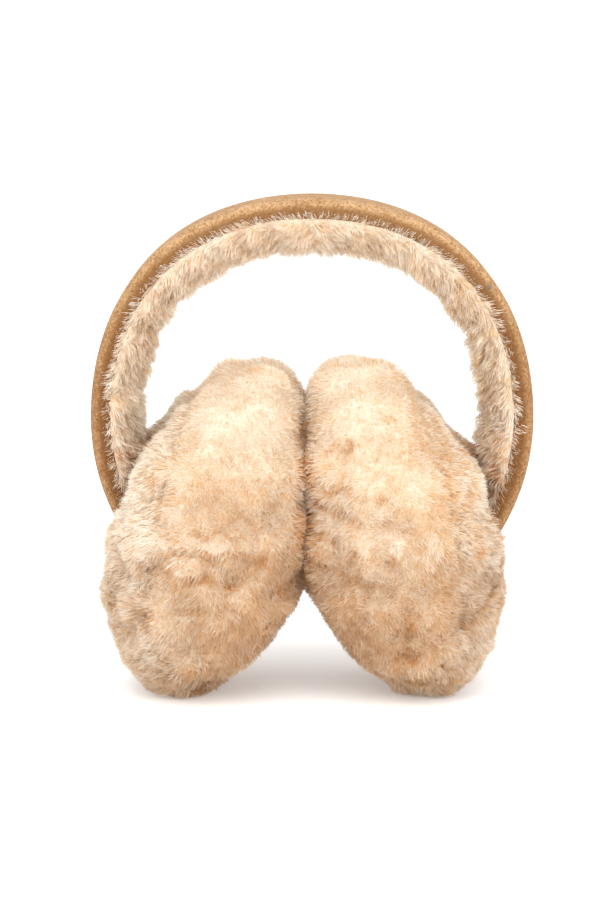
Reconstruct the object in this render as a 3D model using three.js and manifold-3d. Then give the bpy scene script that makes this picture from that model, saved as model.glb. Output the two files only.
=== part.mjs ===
// Fur earmuffs: a suede band bent into a hoop and lined with fur, over two fur pads that press together.
// Millimetres, +Z up, the front faces -Y. The origin is on the floor, under the middle of the hoop.

import * as THREE from 'three';
import { mergeVertices } from 'three/addons/utils/BufferGeometryUtils.js';
import Module from 'manifold-3d';

const wasm = await Module();
wasm.setup();

// Hoop of the band, measured on its outer face
const BAND_SPAN = 168;
const BAND_CROWN = 191;
const BAND_RISE = 84;
const SHOULDER_BULGE = 2.6;
const BAND_WIDTH = 34;
const BAND_DIP = THREE.MathUtils.degToRad(36);
const BAND_STEPS = 30;

// Suede cover, its long edges rolled inward
const SUEDE_WALL = 2;
const RIM_RADIUS = 4.4;
const RIM_TURN = THREE.MathUtils.degToRad(50);
const RIM_STEPS = 2;

// Fur lining of the band: a skin inside the suede, and the pile that stands on it
const PILE_DEPTH = 19;
const PILE_WIDTH = 38;
const PILE_RELIEF = 2.5;
const PILE_DIP = THREE.MathUtils.degToRad(18);
const LINING_LOCK_FALL = 8;
const LINING_LOCK_WIDTH = 18;
const LINING_LOCK_THICKNESS = 6;
const LINING_LOCK_INSET = 0.35;
const LINING_LOCK_OVERLAP = 1.25;
const LINING_LOCK_RINGS = 3;

// Pads
const PAD_HEIGHT = 131;
const PAD_THICKNESS = 78;
const PAD_DEPTH = 112;
const PAD_SQUARENESS = 2.2;
const FOOT_SINK = 2.5;
const PAD_SHIFT = 2.6;
const PAD_COLUMNS = 16;
const PAD_ROWS = 10;

// Fur locks of the pads. A row's pitch is a share of the locks' length, and the rows start and end a share
// of their pitch from the poles, which no lock comes nearer to than an angle.
const FUR_RELIEF = 3.5;
const FOOT_RELIEF = 0.8;
const PAD_LOCK_LENGTH = 36;
const PAD_LOCK_WIDTH = 28;
const PAD_LOCK_THICKNESS = 7;
const PAD_LOCK_PITCH = 0.8;
const PAD_LOCK_START = 0.8;
const PAD_LOCK_FINISH = 0.6;
const LEAST_LOCKS = 3;
const POLE_MARGIN = 0.05;

// Clearances
const SEAM_GAP = 0.3;
const SEAT_GAP = 0.3;
const CONTACT_GAP = 0.5;

// Pad sections from the foot up: height as a share of the pad's height, the two edges as shares of its
// thickness counted outward from the plane between the pads, and depth as a share of its depth.
const PAD_SECTIONS = [
  { height: 0.0, inner: 0.62, outer: 0.62, depth: 0.0 },
  { height: 0.04, inner: 0.43, outer: 0.8, depth: 0.42 },
  { height: 0.15, inner: 0.17, outer: 0.94, depth: 0.76 },
  { height: 0.32, inner: -0.03, outer: 1.0, depth: 0.96 },
  { height: 0.5, inner: -0.07, outer: 0.98, depth: 1.0 },
  { height: 0.72, inner: -0.06, outer: 0.86, depth: 0.9 },
  { height: 0.86, inner: -0.03, outer: 0.67, depth: 0.72 },
  { height: 0.95, inner: 0.02, outer: 0.47, depth: 0.48 },
  { height: 1.0, inner: 0.24, outer: 0.24, depth: 0.0 },
];

// Seam between a pad's two panels, seen from the front, in shares of the pad's thickness and height
const SEAM_LINE = [
  { across: 0.45, height: 1.06 },
  { across: 0.48, height: 0.95 },
  { across: 0.55, height: 0.85 },
  { across: 0.63, height: 0.72 },
  { across: 0.7, height: 0.57 },
  { across: 0.73, height: 0.43 },
  { across: 0.75, height: 0.3 },
  { across: 0.71, height: 0.19 },
  { across: 0.6, height: 0.115 },
  { across: 0.46, height: 0.07 },
  { across: 0.38, height: 0.02 },
  { across: 0.35, height: -0.06 },
];
const SEAM_STEPS = 22;

// Course of a lock round the pile, in degrees from its front edge over its crest to its back edge, and
// how much of the lock's fall its place there has.
const LINING_LOCK_COURSE = [
  { turn: 2, fall: 0 },
  { turn: 40, fall: 0.6 },
  { turn: 90, fall: 1 },
  { turn: 140, fall: 0.6 },
  { turn: 178, fall: 0 },
];

// How far chance moves the lining's locks, as shares of their pitch, thickness and width
const LINING_LOCK_CHANCE = { angle: 0.4, inset: 0.3, width: 0.3 };

// A pad lock's root, bend and tip: place along its fall, and inset as a share of the fur's relief
const PAD_LOCK_COURSE = {
  root: { along: 0.45, inset: 1.3 },
  bend: { along: 0, inset: 0.4 },
  tip: { along: -0.55, inset: 0.35 },
};

// How far chance moves the pads' locks: turn as a share of their pitch, sway and width as shares of their
// width, and lift as an angle
const PAD_LOCK_CHANCE = { turn: 0.5, sway: 0.5, lift: 0.12, width: 0.2 };

// Corners of a triangle
const CORNERS = 3;

// The two pads: side of the middle, and the seed of its locks
const PADS = [
  { name: 'left', side: -1, seed: 4001 },
  { name: 'right', side: 1, seed: 7 },
];

const FUR = { color: 0xeed7b4, roughness: 0.95, metalness: 0 };
const OUTER_FUR = { color: 0xe6cbaa, roughness: 0.95, metalness: 0 };
const LINING_FUR = { color: 0xe3c8a8, roughness: 0.95, metalness: 0 };
const SUEDE = { color: 0xb98a52, roughness: 0.9, metalness: 0 };

// Solids

function solidOf(geometry) {
  const bare = geometry.clone();
  bare.deleteAttribute('normal');
  bare.deleteAttribute('uv');
  const merged = mergeVertices(bare);
  return new wasm.Manifold(new wasm.Mesh({
    numProp: 3,
    vertProperties: new Float32Array(merged.attributes.position.array),
    triVerts: new Uint32Array(merged.index.array),
  }));
}

function geometryOf(solid) {
  const mesh = solid.getMesh();
  const geometry = new THREE.BufferGeometry();
  geometry.setAttribute('position', new THREE.BufferAttribute(new Float32Array(mesh.vertProperties), 3));
  geometry.setIndex(new THREE.BufferAttribute(new Uint32Array(mesh.triVerts), 1));
  geometry.computeVertexNormals();
  return geometry;
}

function block(low, high) {
  const size = new THREE.Vector3().subVectors(high, low);
  const middle = new THREE.Vector3().addVectors(low, high).multiplyScalar(0.5);
  const geometry = new THREE.BoxGeometry(size.x, size.y, size.z);
  geometry.translate(middle.x, middle.y, middle.z);
  return solidOf(geometry);
}

// What a cut leaves apart is a crumb of fur with nothing under it, so only the main body is kept.
function mainBody(solid) {
  const bodies = solid.decompose();
  return bodies.reduce((largest, body) => (body.volume() > largest.volume() ? body : largest));
}

// A lock of fur: a flat spindle with four sides that follows a curve. The normal at a share of the curve
// points out of the fur.
function lockSolid(curve, normalAt, width, thickness, rings) {
  const geometry = new THREE.SphereGeometry(0.5, 4, rings + 1);
  geometry.rotateX(Math.PI / 2);
  const positions = geometry.attributes.position;
  const vertex = new THREE.Vector3();
  for (let index = 0; index < positions.count; index += 1) {
    vertex.fromBufferAttribute(positions, index);
    const share = THREE.MathUtils.clamp(vertex.z + 0.5, 0, 1);
    const along = curve.getTangent(share);
    const side = new THREE.Vector3().crossVectors(normalAt(share), along).normalize();
    const up = new THREE.Vector3().crossVectors(along, side);
    const place = curve.getPoint(share)
      .addScaledVector(side, vertex.x * width)
      .addScaledVector(up, vertex.y * thickness);
    positions.setXYZ(index, place.x, place.y, place.z);
  }
  return solidOf(geometry);
}

// Hoop

// A point of the hoop at an angle above the right-hand side, so far across the band and under its outer
// face. Above its widest place the hoop bulges past an ellipse at both shoulders.
function hoopPoint(angle, across, depth) {
  const bulge = angle > 0 && angle < Math.PI ? SHOULDER_BULGE * Math.sin(2 * angle) ** 2 : 0;
  return new THREE.Vector3(
    (BAND_SPAN / 2 + bulge - depth) * Math.cos(angle),
    across,
    BAND_CROWN - BAND_RISE + (BAND_RISE + bulge - depth) * Math.sin(angle),
  );
}

class HoopCurve extends THREE.Curve {
  constructor(dip) {
    super();
    this.dip = dip;
  }

  getPoint(share) {
    return hoopPoint(THREE.MathUtils.lerp(Math.PI + this.dip, -this.dip, share), 0, 0);
  }
}

// A section runs across the band in x and inward from its outer face in y.
function alongHoop(section, dip) {
  const geometry = new THREE.ExtrudeGeometry(section, {
    steps: BAND_STEPS,
    curveSegments: RIM_STEPS,
    bevelEnabled: false,
    extrudePath: new HoopCurve(dip),
  });
  return solidOf(geometry);
}

const RIM_CENTRE = BAND_WIDTH / 2 - RIM_RADIUS;
const RIM_DEPTH = RIM_RADIUS * (1 + Math.sin(RIM_TURN));
const MOUTH = RIM_CENTRE + (RIM_RADIUS - SUEDE_WALL) * Math.cos(RIM_TURN);

function bandSuede() {
  const section = new THREE.Shape();
  const start = -Math.PI / 2;
  const inside = RIM_RADIUS - SUEDE_WALL;
  section.absarc(RIM_CENTRE, RIM_RADIUS, RIM_RADIUS, start, RIM_TURN, false);
  section.absarc(RIM_CENTRE, RIM_RADIUS, inside, RIM_TURN, start, true);
  section.absarc(-RIM_CENTRE, RIM_RADIUS, inside, start, -Math.PI - RIM_TURN, true);
  section.absarc(-RIM_CENTRE, RIM_RADIUS, RIM_RADIUS, -Math.PI - RIM_TURN, start, false);
  return alongHoop(section, BAND_DIP);
}

// The space that the band's end takes in a pad, with its seat's clearance all round.
function bandSeat() {
  const half = BAND_WIDTH / 2 + SEAT_GAP;
  const corner = RIM_RADIUS + SEAT_GAP;
  const section = new THREE.Shape();
  section.moveTo(-half, RIM_DEPTH + SEAT_GAP);
  section.lineTo(-half, RIM_RADIUS);
  section.absarc(-half + corner, RIM_RADIUS, corner, Math.PI, Math.PI * 1.5, false);
  section.absarc(half - corner, RIM_RADIUS, corner, Math.PI * 1.5, Math.PI * 2, false);
  section.lineTo(half, RIM_DEPTH + SEAT_GAP);
  section.closePath();
  const radius = BAND_SPAN / 2 - RIM_DEPTH;
  return alongHoop(section, BAND_DIP + SEAT_GAP / radius);
}

// The skin that carries the lining lies inside the suede and runs to the band's ends.
function liningSkin() {
  const half = MOUTH - SEAT_GAP;
  const top = SUEDE_WALL + SEAT_GAP;
  const chamfer = RIM_RADIUS - SUEDE_WALL;
  const section = new THREE.Shape();
  section.moveTo(-half, RIM_DEPTH);
  section.lineTo(-half, top + chamfer);
  section.lineTo(-half + chamfer, top);
  section.lineTo(half - chamfer, top);
  section.lineTo(half, top + chamfer);
  section.lineTo(half, RIM_DEPTH);
  section.closePath();
  return alongHoop(section, BAND_DIP);
}

// A point of the pile's outer form, or of one that lies inset under it: turn runs from its front edge
// over its crest to its back edge.
function pilePoint(angle, turn, inset) {
  const shoulder = RIM_DEPTH + SEAT_GAP;
  const crest = SUEDE_WALL + PILE_DEPTH;
  return hoopPoint(
    angle,
    -(PILE_WIDTH / 2 - inset) * Math.cos(turn),
    shoulder + (crest - shoulder - inset) * Math.sin(turn),
  );
}

function liningPile() {
  const neck = MOUTH - SEAT_GAP;
  const root = (SUEDE_WALL + RIM_DEPTH) / 2;
  const shoulder = RIM_DEPTH + SEAT_GAP;
  const crest = SUEDE_WALL + PILE_DEPTH - PILE_RELIEF;
  const section = new THREE.Shape();
  section.moveTo(neck, root);
  section.lineTo(neck, shoulder);
  section.absellipse(0, shoulder, PILE_WIDTH / 2 - PILE_RELIEF, crest - shoulder, 0, Math.PI, false);
  section.lineTo(-neck, shoulder);
  section.lineTo(-neck, root);
  section.closePath();
  return alongHoop(section, PILE_DIP);
}

// Each lock runs round the pile from one edge to the other, and its middle falls down its side of the hoop.
function liningLocks() {
  const locks = [];
  const arc = Math.PI + 2 * PILE_DIP;
  const count = Math.round(arc * BAND_SPAN / 2 / LINING_LOCK_WIDTH * LINING_LOCK_OVERLAP);
  for (let index = 0; index < count; index += 1) {
    const chance = (salt) => THREE.MathUtils.seededRandom(index * 7 + salt) - 0.5;
    const angle = -PILE_DIP + arc * (index + 0.5 + chance(1) * LINING_LOCK_CHANCE.angle) / count;
    const fall = Math.sign(angle - Math.PI / 2) * LINING_LOCK_FALL / (BAND_SPAN / 2);
    const inset = LINING_LOCK_THICKNESS * (LINING_LOCK_INSET + chance(2) * LINING_LOCK_CHANCE.inset);
    const curve = new THREE.CatmullRomCurve3(LINING_LOCK_COURSE.map((place) => pilePoint(
      angle + fall * place.fall,
      THREE.MathUtils.degToRad(place.turn),
      inset,
    )));
    const middle = hoopPoint(angle, 0, RIM_DEPTH);
    const normalAt = (share) => curve.getPoint(share).sub(middle);
    const width = LINING_LOCK_WIDTH * (1 + chance(3) * LINING_LOCK_CHANCE.width);
    locks.push(lockSolid(curve, normalAt, width, LINING_LOCK_THICKNESS, LINING_LOCK_RINGS));
  }
  return locks;
}

// Pads, worked out in a frame whose x runs outward from the plane between them

const sectionShape = new THREE.CubicInterpolant(
  PAD_SECTIONS.map((row) => Math.acos(1 - 2 * row.height)),
  PAD_SECTIONS.flatMap((row) => [row.inner, row.outer, row.depth]),
  3,
);

// A point of the pad's outer form, or of one that lies inset under it: rise runs from 0 at the foot to pi
// at the top, and turn goes round the section.
function padPoint(rise, turn, inset) {
  const [inner, outer, depth] = sectionShape.evaluate(rise);
  const taper = Math.sin(rise);
  const halfX = Math.max((outer - inner) * PAD_THICKNESS / 2 - inset * taper, 0);
  const halfY = Math.max(depth * PAD_DEPTH / 2 - inset * taper, 0);
  const power = 2 / PAD_SQUARENESS;
  const cosine = Math.cos(turn);
  const sine = Math.sin(turn);
  const bottom = -FOOT_SINK + inset * FOOT_RELIEF / FUR_RELIEF;
  const top = PAD_HEIGHT - inset;
  return new THREE.Vector3(
    (inner + outer) * PAD_THICKNESS / 2 + halfX * Math.sign(cosine) * Math.abs(cosine) ** power,
    halfY * Math.sign(sine) * Math.abs(sine) ** power,
    bottom + (top - bottom) * (1 - Math.cos(rise)) / 2,
  );
}

function padNormal(rise, turn) {
  const step = 0.02;
  const up = padPoint(rise + step, turn, 0).sub(padPoint(rise - step, turn, 0));
  const round = padPoint(rise, turn + step, 0).sub(padPoint(rise, turn - step, 0));
  return round.cross(up).normalize();
}

function padForm(inset) {
  const geometry = new THREE.SphereGeometry(1, PAD_COLUMNS, PAD_ROWS);
  geometry.rotateX(Math.PI / 2);
  const positions = geometry.attributes.position;
  const vertex = new THREE.Vector3();
  for (let index = 0; index < positions.count; index += 1) {
    vertex.fromBufferAttribute(positions, index);
    const rise = Math.acos(THREE.MathUtils.clamp(-vertex.z, -1, 1));
    const place = padPoint(rise, Math.atan2(vertex.y, vertex.x), inset);
    positions.setXYZ(index, place.x, place.y, place.z);
  }
  return solidOf(geometry);
}

// Locks lie over the pad like shingles, tips down, each rising from under the form to its outer face.
// None lies in the plane between the pads.
function padLocks(seed, growth) {
  const locks = [];
  const rows = Math.round((PAD_HEIGHT * Math.PI / 2) / (PAD_LOCK_LENGTH * PAD_LOCK_PITCH));
  const fall = PAD_LOCK_LENGTH / (PAD_HEIGHT / 2);
  for (let row = 0; row < rows; row += 1) {
    const rise = Math.PI * (row + PAD_LOCK_START) / (rows - 1 + PAD_LOCK_START + PAD_LOCK_FINISH);
    const girth = Math.PI * (PAD_THICKNESS + PAD_DEPTH) / 2 * Math.sin(rise);
    const count = Math.max(Math.round(girth / PAD_LOCK_WIDTH), LEAST_LOCKS);
    for (let index = 0; index < count; index += 1) {
      const chance = (salt) => THREE.MathUtils.seededRandom(seed + row * 131 + index * 17 + salt) - 0.5;
      const turn = 2 * Math.PI * (index + (row % 2) / 2 + chance(1) * PAD_LOCK_CHANCE.turn) / count;
      const sway = chance(2) * PAD_LOCK_CHANCE.sway * PAD_LOCK_WIDTH / PAD_DEPTH;
      const lift = rise + chance(3) * PAD_LOCK_CHANCE.lift;
      const place = (stage, swing) => padPoint(
        THREE.MathUtils.clamp(lift + fall * stage.along, POLE_MARGIN, Math.PI - POLE_MARGIN),
        turn + sway * swing,
        FUR_RELIEF * stage.inset,
      );
      const bend = place(PAD_LOCK_COURSE.bend, 1);
      if (bend.x >= CONTACT_GAP) {
        const curve = new THREE.QuadraticBezierCurve3(
          place(PAD_LOCK_COURSE.root, 0),
          bend,
          place(PAD_LOCK_COURSE.tip, 2),
        );
        const level = THREE.MathUtils.clamp(lift, 2 * POLE_MARGIN, Math.PI - 2 * POLE_MARGIN);
        const normal = padNormal(level, turn);
        const width = PAD_LOCK_WIDTH * (1 + chance(4) * PAD_LOCK_CHANCE.width) + 2 * growth;
        const thickness = PAD_LOCK_THICKNESS + 2 * growth;
        locks.push(lockSolid(curve, () => normal, width, thickness, 1));
      }
    }
  }
  return locks;
}

// Everything on the ear's side of the seam, whose line is moved outward by a clearance.
function earSideSpace(clearance) {
  const spline = new THREE.SplineCurve(
    SEAM_LINE.map((row) => new THREE.Vector2(row.across * PAD_THICKNESS, row.height * PAD_HEIGHT)),
  );
  const reach = PAD_DEPTH + PAD_THICKNESS;
  const outline = [];
  for (let step = 0; step <= SEAM_STEPS; step += 1) {
    const share = step / SEAM_STEPS;
    const tangent = spline.getTangent(share);
    const point = spline.getPoint(share);
    outline.push(new THREE.Vector2(point.x - tangent.y * clearance, point.y + tangent.x * clearance));
  }
  outline.push(new THREE.Vector2(-reach, outline[outline.length - 1].y));
  outline.push(new THREE.Vector2(-reach, outline[0].y));
  const geometry = new THREE.ExtrudeGeometry(new THREE.Shape(outline), {
    steps: 1, depth: reach, bevelEnabled: false,
  });
  geometry.rotateX(Math.PI / 2);
  geometry.translate(0, reach / 2, 0);
  return solidOf(geometry);
}

// A whole pad with its locks, or one that is grown by a clearance.
function padWhole(seed, growth) {
  return padLocks(seed, growth).reduce((solid, lock) => solid.add(lock), padForm(FUR_RELIEF - growth));
}

// The pad's two panels in its own frame: the cushion on the ear's side, and the panel over its outside.
function padPanels(seed) {
  const reach = PAD_HEIGHT + PAD_DEPTH;
  const trimmed = padWhole(seed, 0).intersect(block(
    new THREE.Vector3(CONTACT_GAP / 2, -reach, 0),
    new THREE.Vector3(reach, reach, reach),
  ));
  return {
    ear_side_fur: trimmed.intersect(earSideSpace(0)),
    outer_fur: trimmed.subtract(earSideSpace(SEAM_GAP)),
  };
}

// A pad is modelled on the right. The left one is its mirror image, and both stand a little to the left.
function placed(solid, side) {
  const geometry = geometryOf(solid);
  geometry.scale(side, 1, 1);
  geometry.translate(-PAD_SHIFT, 0, 0);
  if (side < 0) {
    const index = geometry.index.array;
    for (let corner = 0; corner < index.length; corner += CORNERS) {
      [index[corner], index[corner + 1]] = [index[corner + 1], index[corner]];
    }
  }
  return solidOf(geometry);
}

// The lining keeps clear of the suede's rolled edges and of the pads.
function bandFur() {
  let pile = liningLocks().reduce((solid, lock) => solid.add(lock), liningPile());
  for (const { side, seed } of PADS) {
    pile = pile.subtract(placed(padWhole(seed, SEAT_GAP), side));
  }
  return mainBody(pile.subtract(rimSpace()).add(liningSkin()));
}

// The space of the suede's wall with the seat's clearance round it.
function rimSpace() {
  const section = new THREE.Shape();
  const start = -Math.PI / 2;
  const inside = RIM_RADIUS - SUEDE_WALL - SEAT_GAP;
  const outside = RIM_RADIUS + SEAT_GAP;
  const turn = RIM_TURN + SEAT_GAP / RIM_RADIUS;
  section.absarc(RIM_CENTRE, RIM_RADIUS, outside, start, turn, false);
  section.absarc(RIM_CENTRE, RIM_RADIUS, inside, turn, start, true);
  section.absarc(-RIM_CENTRE, RIM_RADIUS, inside, start, -Math.PI - turn, true);
  section.absarc(-RIM_CENTRE, RIM_RADIUS, outside, -Math.PI - turn, start, false);
  return alongHoop(section, BAND_DIP);
}

// Assembly

const earmuffs = new THREE.Group();

function addPiece(name, solid, finish) {
  const mesh = new THREE.Mesh(geometryOf(solid), new THREE.MeshStandardMaterial(finish));
  mesh.name = name;
  earmuffs.add(mesh);
}

addPiece('band_suede', bandSuede(), SUEDE);
addPiece('band_fur', bandFur(), LINING_FUR);

for (const { name, side, seed } of PADS) {
  const panels = padPanels(seed);
  addPiece(`${name}_ear_side_fur`, mainBody(placed(panels.ear_side_fur, side)), FUR);
  addPiece(`${name}_outer_fur`, mainBody(placed(panels.outer_fur, side).subtract(bandSeat())), OUTER_FUR);
}

export default earmuffs;
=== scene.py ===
"""Sheepskin earmuffs: a suede band lined with fleece, over two fleece pads that press together.

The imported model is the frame. Its fur solids give the soft forms that the fleece grows on, and the suede
is swept again along the same hoop with a finer section. Lengths are in millimetres, apart from meshes
and welds, and the studio's floor, lamps and clipping, which are in metres.
"""
import logging
import math
from dataclasses import dataclass, field
from enum import Enum

import bmesh
import bpy
import numpy as np
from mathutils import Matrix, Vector
from mathutils.bvhtree import BVHTree
from mathutils.kdtree import KDTree


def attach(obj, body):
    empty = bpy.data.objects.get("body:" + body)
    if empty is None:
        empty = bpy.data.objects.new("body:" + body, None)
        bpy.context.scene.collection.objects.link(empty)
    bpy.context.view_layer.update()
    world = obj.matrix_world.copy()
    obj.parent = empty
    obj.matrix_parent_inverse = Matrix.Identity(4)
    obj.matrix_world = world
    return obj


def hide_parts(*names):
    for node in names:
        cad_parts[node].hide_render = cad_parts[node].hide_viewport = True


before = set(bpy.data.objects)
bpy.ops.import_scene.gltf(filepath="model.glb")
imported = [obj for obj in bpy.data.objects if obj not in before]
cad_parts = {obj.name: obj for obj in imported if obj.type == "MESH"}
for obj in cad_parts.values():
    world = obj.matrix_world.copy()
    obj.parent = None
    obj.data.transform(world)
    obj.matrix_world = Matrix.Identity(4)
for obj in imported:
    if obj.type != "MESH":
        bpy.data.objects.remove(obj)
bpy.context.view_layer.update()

MM = 0.001
BODY = "root"
STRAND_MAP = "OFBake"
SECTION_MAP = "Section"
COLOUR_AND_SHADE = "ColourAndShade"
WELD = 1e-6
TINY = 1e-9
SMOOTHING = 0.5
FLOOR_SKIN = 0.3
LOCK_WANDER = 0.35
LOCK_SWELL = 1.4
WAVE_SPREAD = (0.65, 1.5)
SEED_STEP = 31

log = logging.getLogger("earmuffs")


# Fields over the fleece


def unit(vectors: np.ndarray) -> np.ndarray:
    """Rows scaled to length one."""
    length = np.linalg.norm(vectors, axis=-1, keepdims=True)
    return vectors / np.maximum(length, TINY)


def smooth_step(values: np.ndarray, low: float, high: float) -> np.ndarray:
    """Rises from 0 at low to 1 at high with no corner at either end."""
    share = np.clip((values - low) / (high - low), 0.0, 1.0)
    return share * share * (3.0 - 2.0 * share)


def fall(values: np.ndarray, top: float, fade: float) -> np.ndarray:
    """Rises from 0 at the top to 1 at the fade's length below it."""
    return smooth_step(top - values, 0.0, fade)


def ripple(points: np.ndarray, scale: float, seed: int, waves: int = 9) -> np.ndarray:
    """A smooth field that wanders over space, mostly between -1 and 1.

    Args:
        points: Places, one row each, in millimetres.
        scale: Distance between its swells.
        seed: Picks one field of this kind.
        waves: How many waves add up to it.

    Returns:
        One value for each point.
    """
    rng = np.random.default_rng(seed)
    heading = unit(rng.normal(size=(waves, 3))) * rng.uniform(*WAVE_SPREAD, (waves, 1))
    phase = rng.uniform(0.0, 2.0 * math.pi, waves)
    swell = np.sin(points @ heading.T * (2.0 * math.pi / scale) + phase)
    return swell.sum(axis=1) / math.sqrt(waves)


def drift(points: np.ndarray, scale: float, seed: int) -> np.ndarray:
    """Three ripples side by side, as a direction that wanders over space."""
    return np.stack([ripple(points, scale, seed + axis * SEED_STEP) for axis in range(3)], axis=1)


def lock_cells(points: np.ndarray, size: float, seed: int) -> np.ndarray:
    """The middle of the lock that each point belongs to, in cells with wandering edges."""
    return np.round(points / size + LOCK_WANDER * drift(points, LOCK_SWELL * size, seed)) * size


@dataclass(frozen=True)
class Wander:
    """A field that wanders over space: the distance between its swells, its seed and its strength."""

    scale: float
    seed: int
    strength: float = 1.0

    def at(self, points: np.ndarray, shift: int = 0) -> np.ndarray:
        """The field's value at each point, about 0; shift picks a sister field."""
        return self.strength * ripple(points, self.scale, self.seed + shift)

    def way(self, points: np.ndarray, shift: int = 0) -> np.ndarray:
        """A direction that wanders as the field does; shift picks a sister field."""
        return self.strength * drift(points, self.scale, self.seed + shift)


def weigh(weights: dict[str, float], influences: dict[str, np.ndarray | float]) -> np.ndarray:
    """Adds up what each named influence does at each strand.

    Args:
        weights: How much each influence counts, by name.
        influences: The influences' values, by name.

    Returns:
        One sum for each strand.
    """
    return sum(weight * influences[name] for name, weight in weights.items())


def line_distance(places: np.ndarray, line: np.ndarray) -> np.ndarray:
    """How far each (x, z) place lies from a line of points in that plane."""
    nearest = np.full(len(places), np.inf)
    for start, end in zip(line[:-1], line[1:]):
        run = end - start
        share = np.clip((places - start) @ run / max(run @ run, TINY), 0.0, 1.0)
        gap = np.linalg.norm(places - start - share[:, None] * run, axis=1)
        nearest = np.minimum(nearest, gap)
    return nearest


# Finishes


class Hue(Enum):
    """Row of the fleece's colour table that a strand takes."""

    CREAM = 0
    ROSE = 1
    WHITE = 2
    AMBER = 3
    TAN = 4


HUE_ROWS = len(Hue)
HUE_EDGE = 0.002


@dataclass(frozen=True)
class StrandColours:
    """Colours of one hue of fleece from its root to its tip, linear."""

    root: tuple[float, float, float]
    shaft: tuple[float, float, float]
    tip: tuple[float, float, float]


PALETTE: dict[Hue, StrandColours] = {
    Hue.CREAM: StrandColours((0.86, 0.71, 0.54), (0.89, 0.79, 0.66), (0.91, 0.85, 0.76)),
    Hue.ROSE: StrandColours((0.80, 0.58, 0.39), (0.84, 0.66, 0.47), (0.87, 0.73, 0.56)),
    Hue.WHITE: StrandColours((0.87, 0.77, 0.64), (0.91, 0.84, 0.74), (0.93, 0.89, 0.82)),
    Hue.AMBER: StrandColours((0.82, 0.56, 0.31), (0.86, 0.66, 0.43), (0.88, 0.74, 0.54)),
    Hue.TAN: StrandColours((0.70, 0.38, 0.16), (0.78, 0.47, 0.23), (0.83, 0.57, 0.34)),
}
SHADE = (0.61, 0.42, 0.24)


class NodeSheet:
    """Adds and joins the nodes of one material or group."""

    def __init__(self, tree: bpy.types.NodeTree) -> None:
        """Works on a node tree."""
        self.tree = tree

    def add(
        self, kind: str, inputs: dict[str | int, object] | None = None, **settings: object,
    ) -> bpy.types.Node:
        """Adds a node, sets it up and feeds its inputs.

        Args:
            kind: The node's type name.
            inputs: Values or output sockets by input name or number.
            **settings: The node's own properties.

        Returns:
            The node.
        """
        node = self.tree.nodes.new(kind)
        for name, value in settings.items():
            setattr(node, name, value)
        for name, value in (inputs or {}).items():
            if isinstance(value, bpy.types.NodeSocket):
                self.tree.links.new(value, node.inputs[name])
            else:
                node.inputs[name].default_value = value
        return node

    def ramp(
        self, factor: bpy.types.NodeSocket, stops: list[tuple[float, tuple[float, float, float]]],
    ) -> bpy.types.NodeSocket:
        """A colour ramp over a value.

        Args:
            factor: The value's socket.
            stops: Places and linear colours.

        Returns:
            The colour's socket.
        """
        node = self.add("ShaderNodeValToRGB", {"Fac": factor})
        elements = node.color_ramp.elements
        while len(elements) > 1:
            elements.remove(elements[-1])
        for number, (place, colour) in enumerate(stops):
            element = elements[0] if number == 0 else elements.new(place)
            element.position = place
            element.color = (*colour, 1.0)
        return node.outputs["Color"]

    def mix(self, factor: object, first: object, second: object, blend: str = "MIX") -> bpy.types.NodeSocket:
        """Mixes two colours.

        Args:
            factor: How much of the second, as a value or a socket.
            first: A colour with its alpha, or a socket.
            second: The same.
            blend: Blender's name for how they mix.

        Returns:
            The colour's socket.
        """
        inputs = {0: factor, 6: first, 7: second}
        return self.add("ShaderNodeMix", inputs, data_type="RGBA", blend_type=blend).outputs[2]

    def fade(
        self, value: bpy.types.NodeSocket, span: tuple[float, float], ends: tuple[float, float],
    ) -> bpy.types.NodeSocket:
        """A number that goes smoothly from one end to the other as a value crosses a span.

        Args:
            value: The value's socket.
            span: Where the change starts and stops.
            ends: The number before it and after it.

        Returns:
            The number's socket.
        """
        places = {"From Min": span[0], "From Max": span[1], "To Min": ends[0], "To Max": ends[1]}
        inputs = {"Value": value, **places}
        return self.add("ShaderNodeMapRange", inputs, interpolation_type="SMOOTHSTEP").outputs["Result"]

    def bump(
        self, shader: bpy.types.Node, height: bpy.types.NodeSocket, strength: float, depth: float,
    ) -> None:
        """Raises a shader's surface by a height, so strongly and so deep in millimetres."""
        inputs = {"Height": height, "Strength": strength, "Distance": depth * MM}
        raised = self.add("ShaderNodeBump", inputs)
        self.tree.links.new(raised.outputs["Normal"], shader.inputs["Normal"])


def new_material(
    name: str, inputs: dict[str, object],
) -> tuple[bpy.types.Material, NodeSheet, bpy.types.Node]:
    """A node material with nothing but a Principled shader.

    Args:
        name: The material's name.
        inputs: What is the same all over, by the shader's own sockets.

    Returns:
        The material, its sheet of nodes, and the shader.
    """
    material = bpy.data.materials.new(name)
    material.use_nodes = True
    material.node_tree.nodes.clear()
    sheet = NodeSheet(material.node_tree)
    shader = sheet.add("ShaderNodeBsdfPrincipled", inputs)
    sheet.add("ShaderNodeOutputMaterial", {"Surface": shader.outputs["BSDF"]})
    return material, sheet, shader


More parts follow.
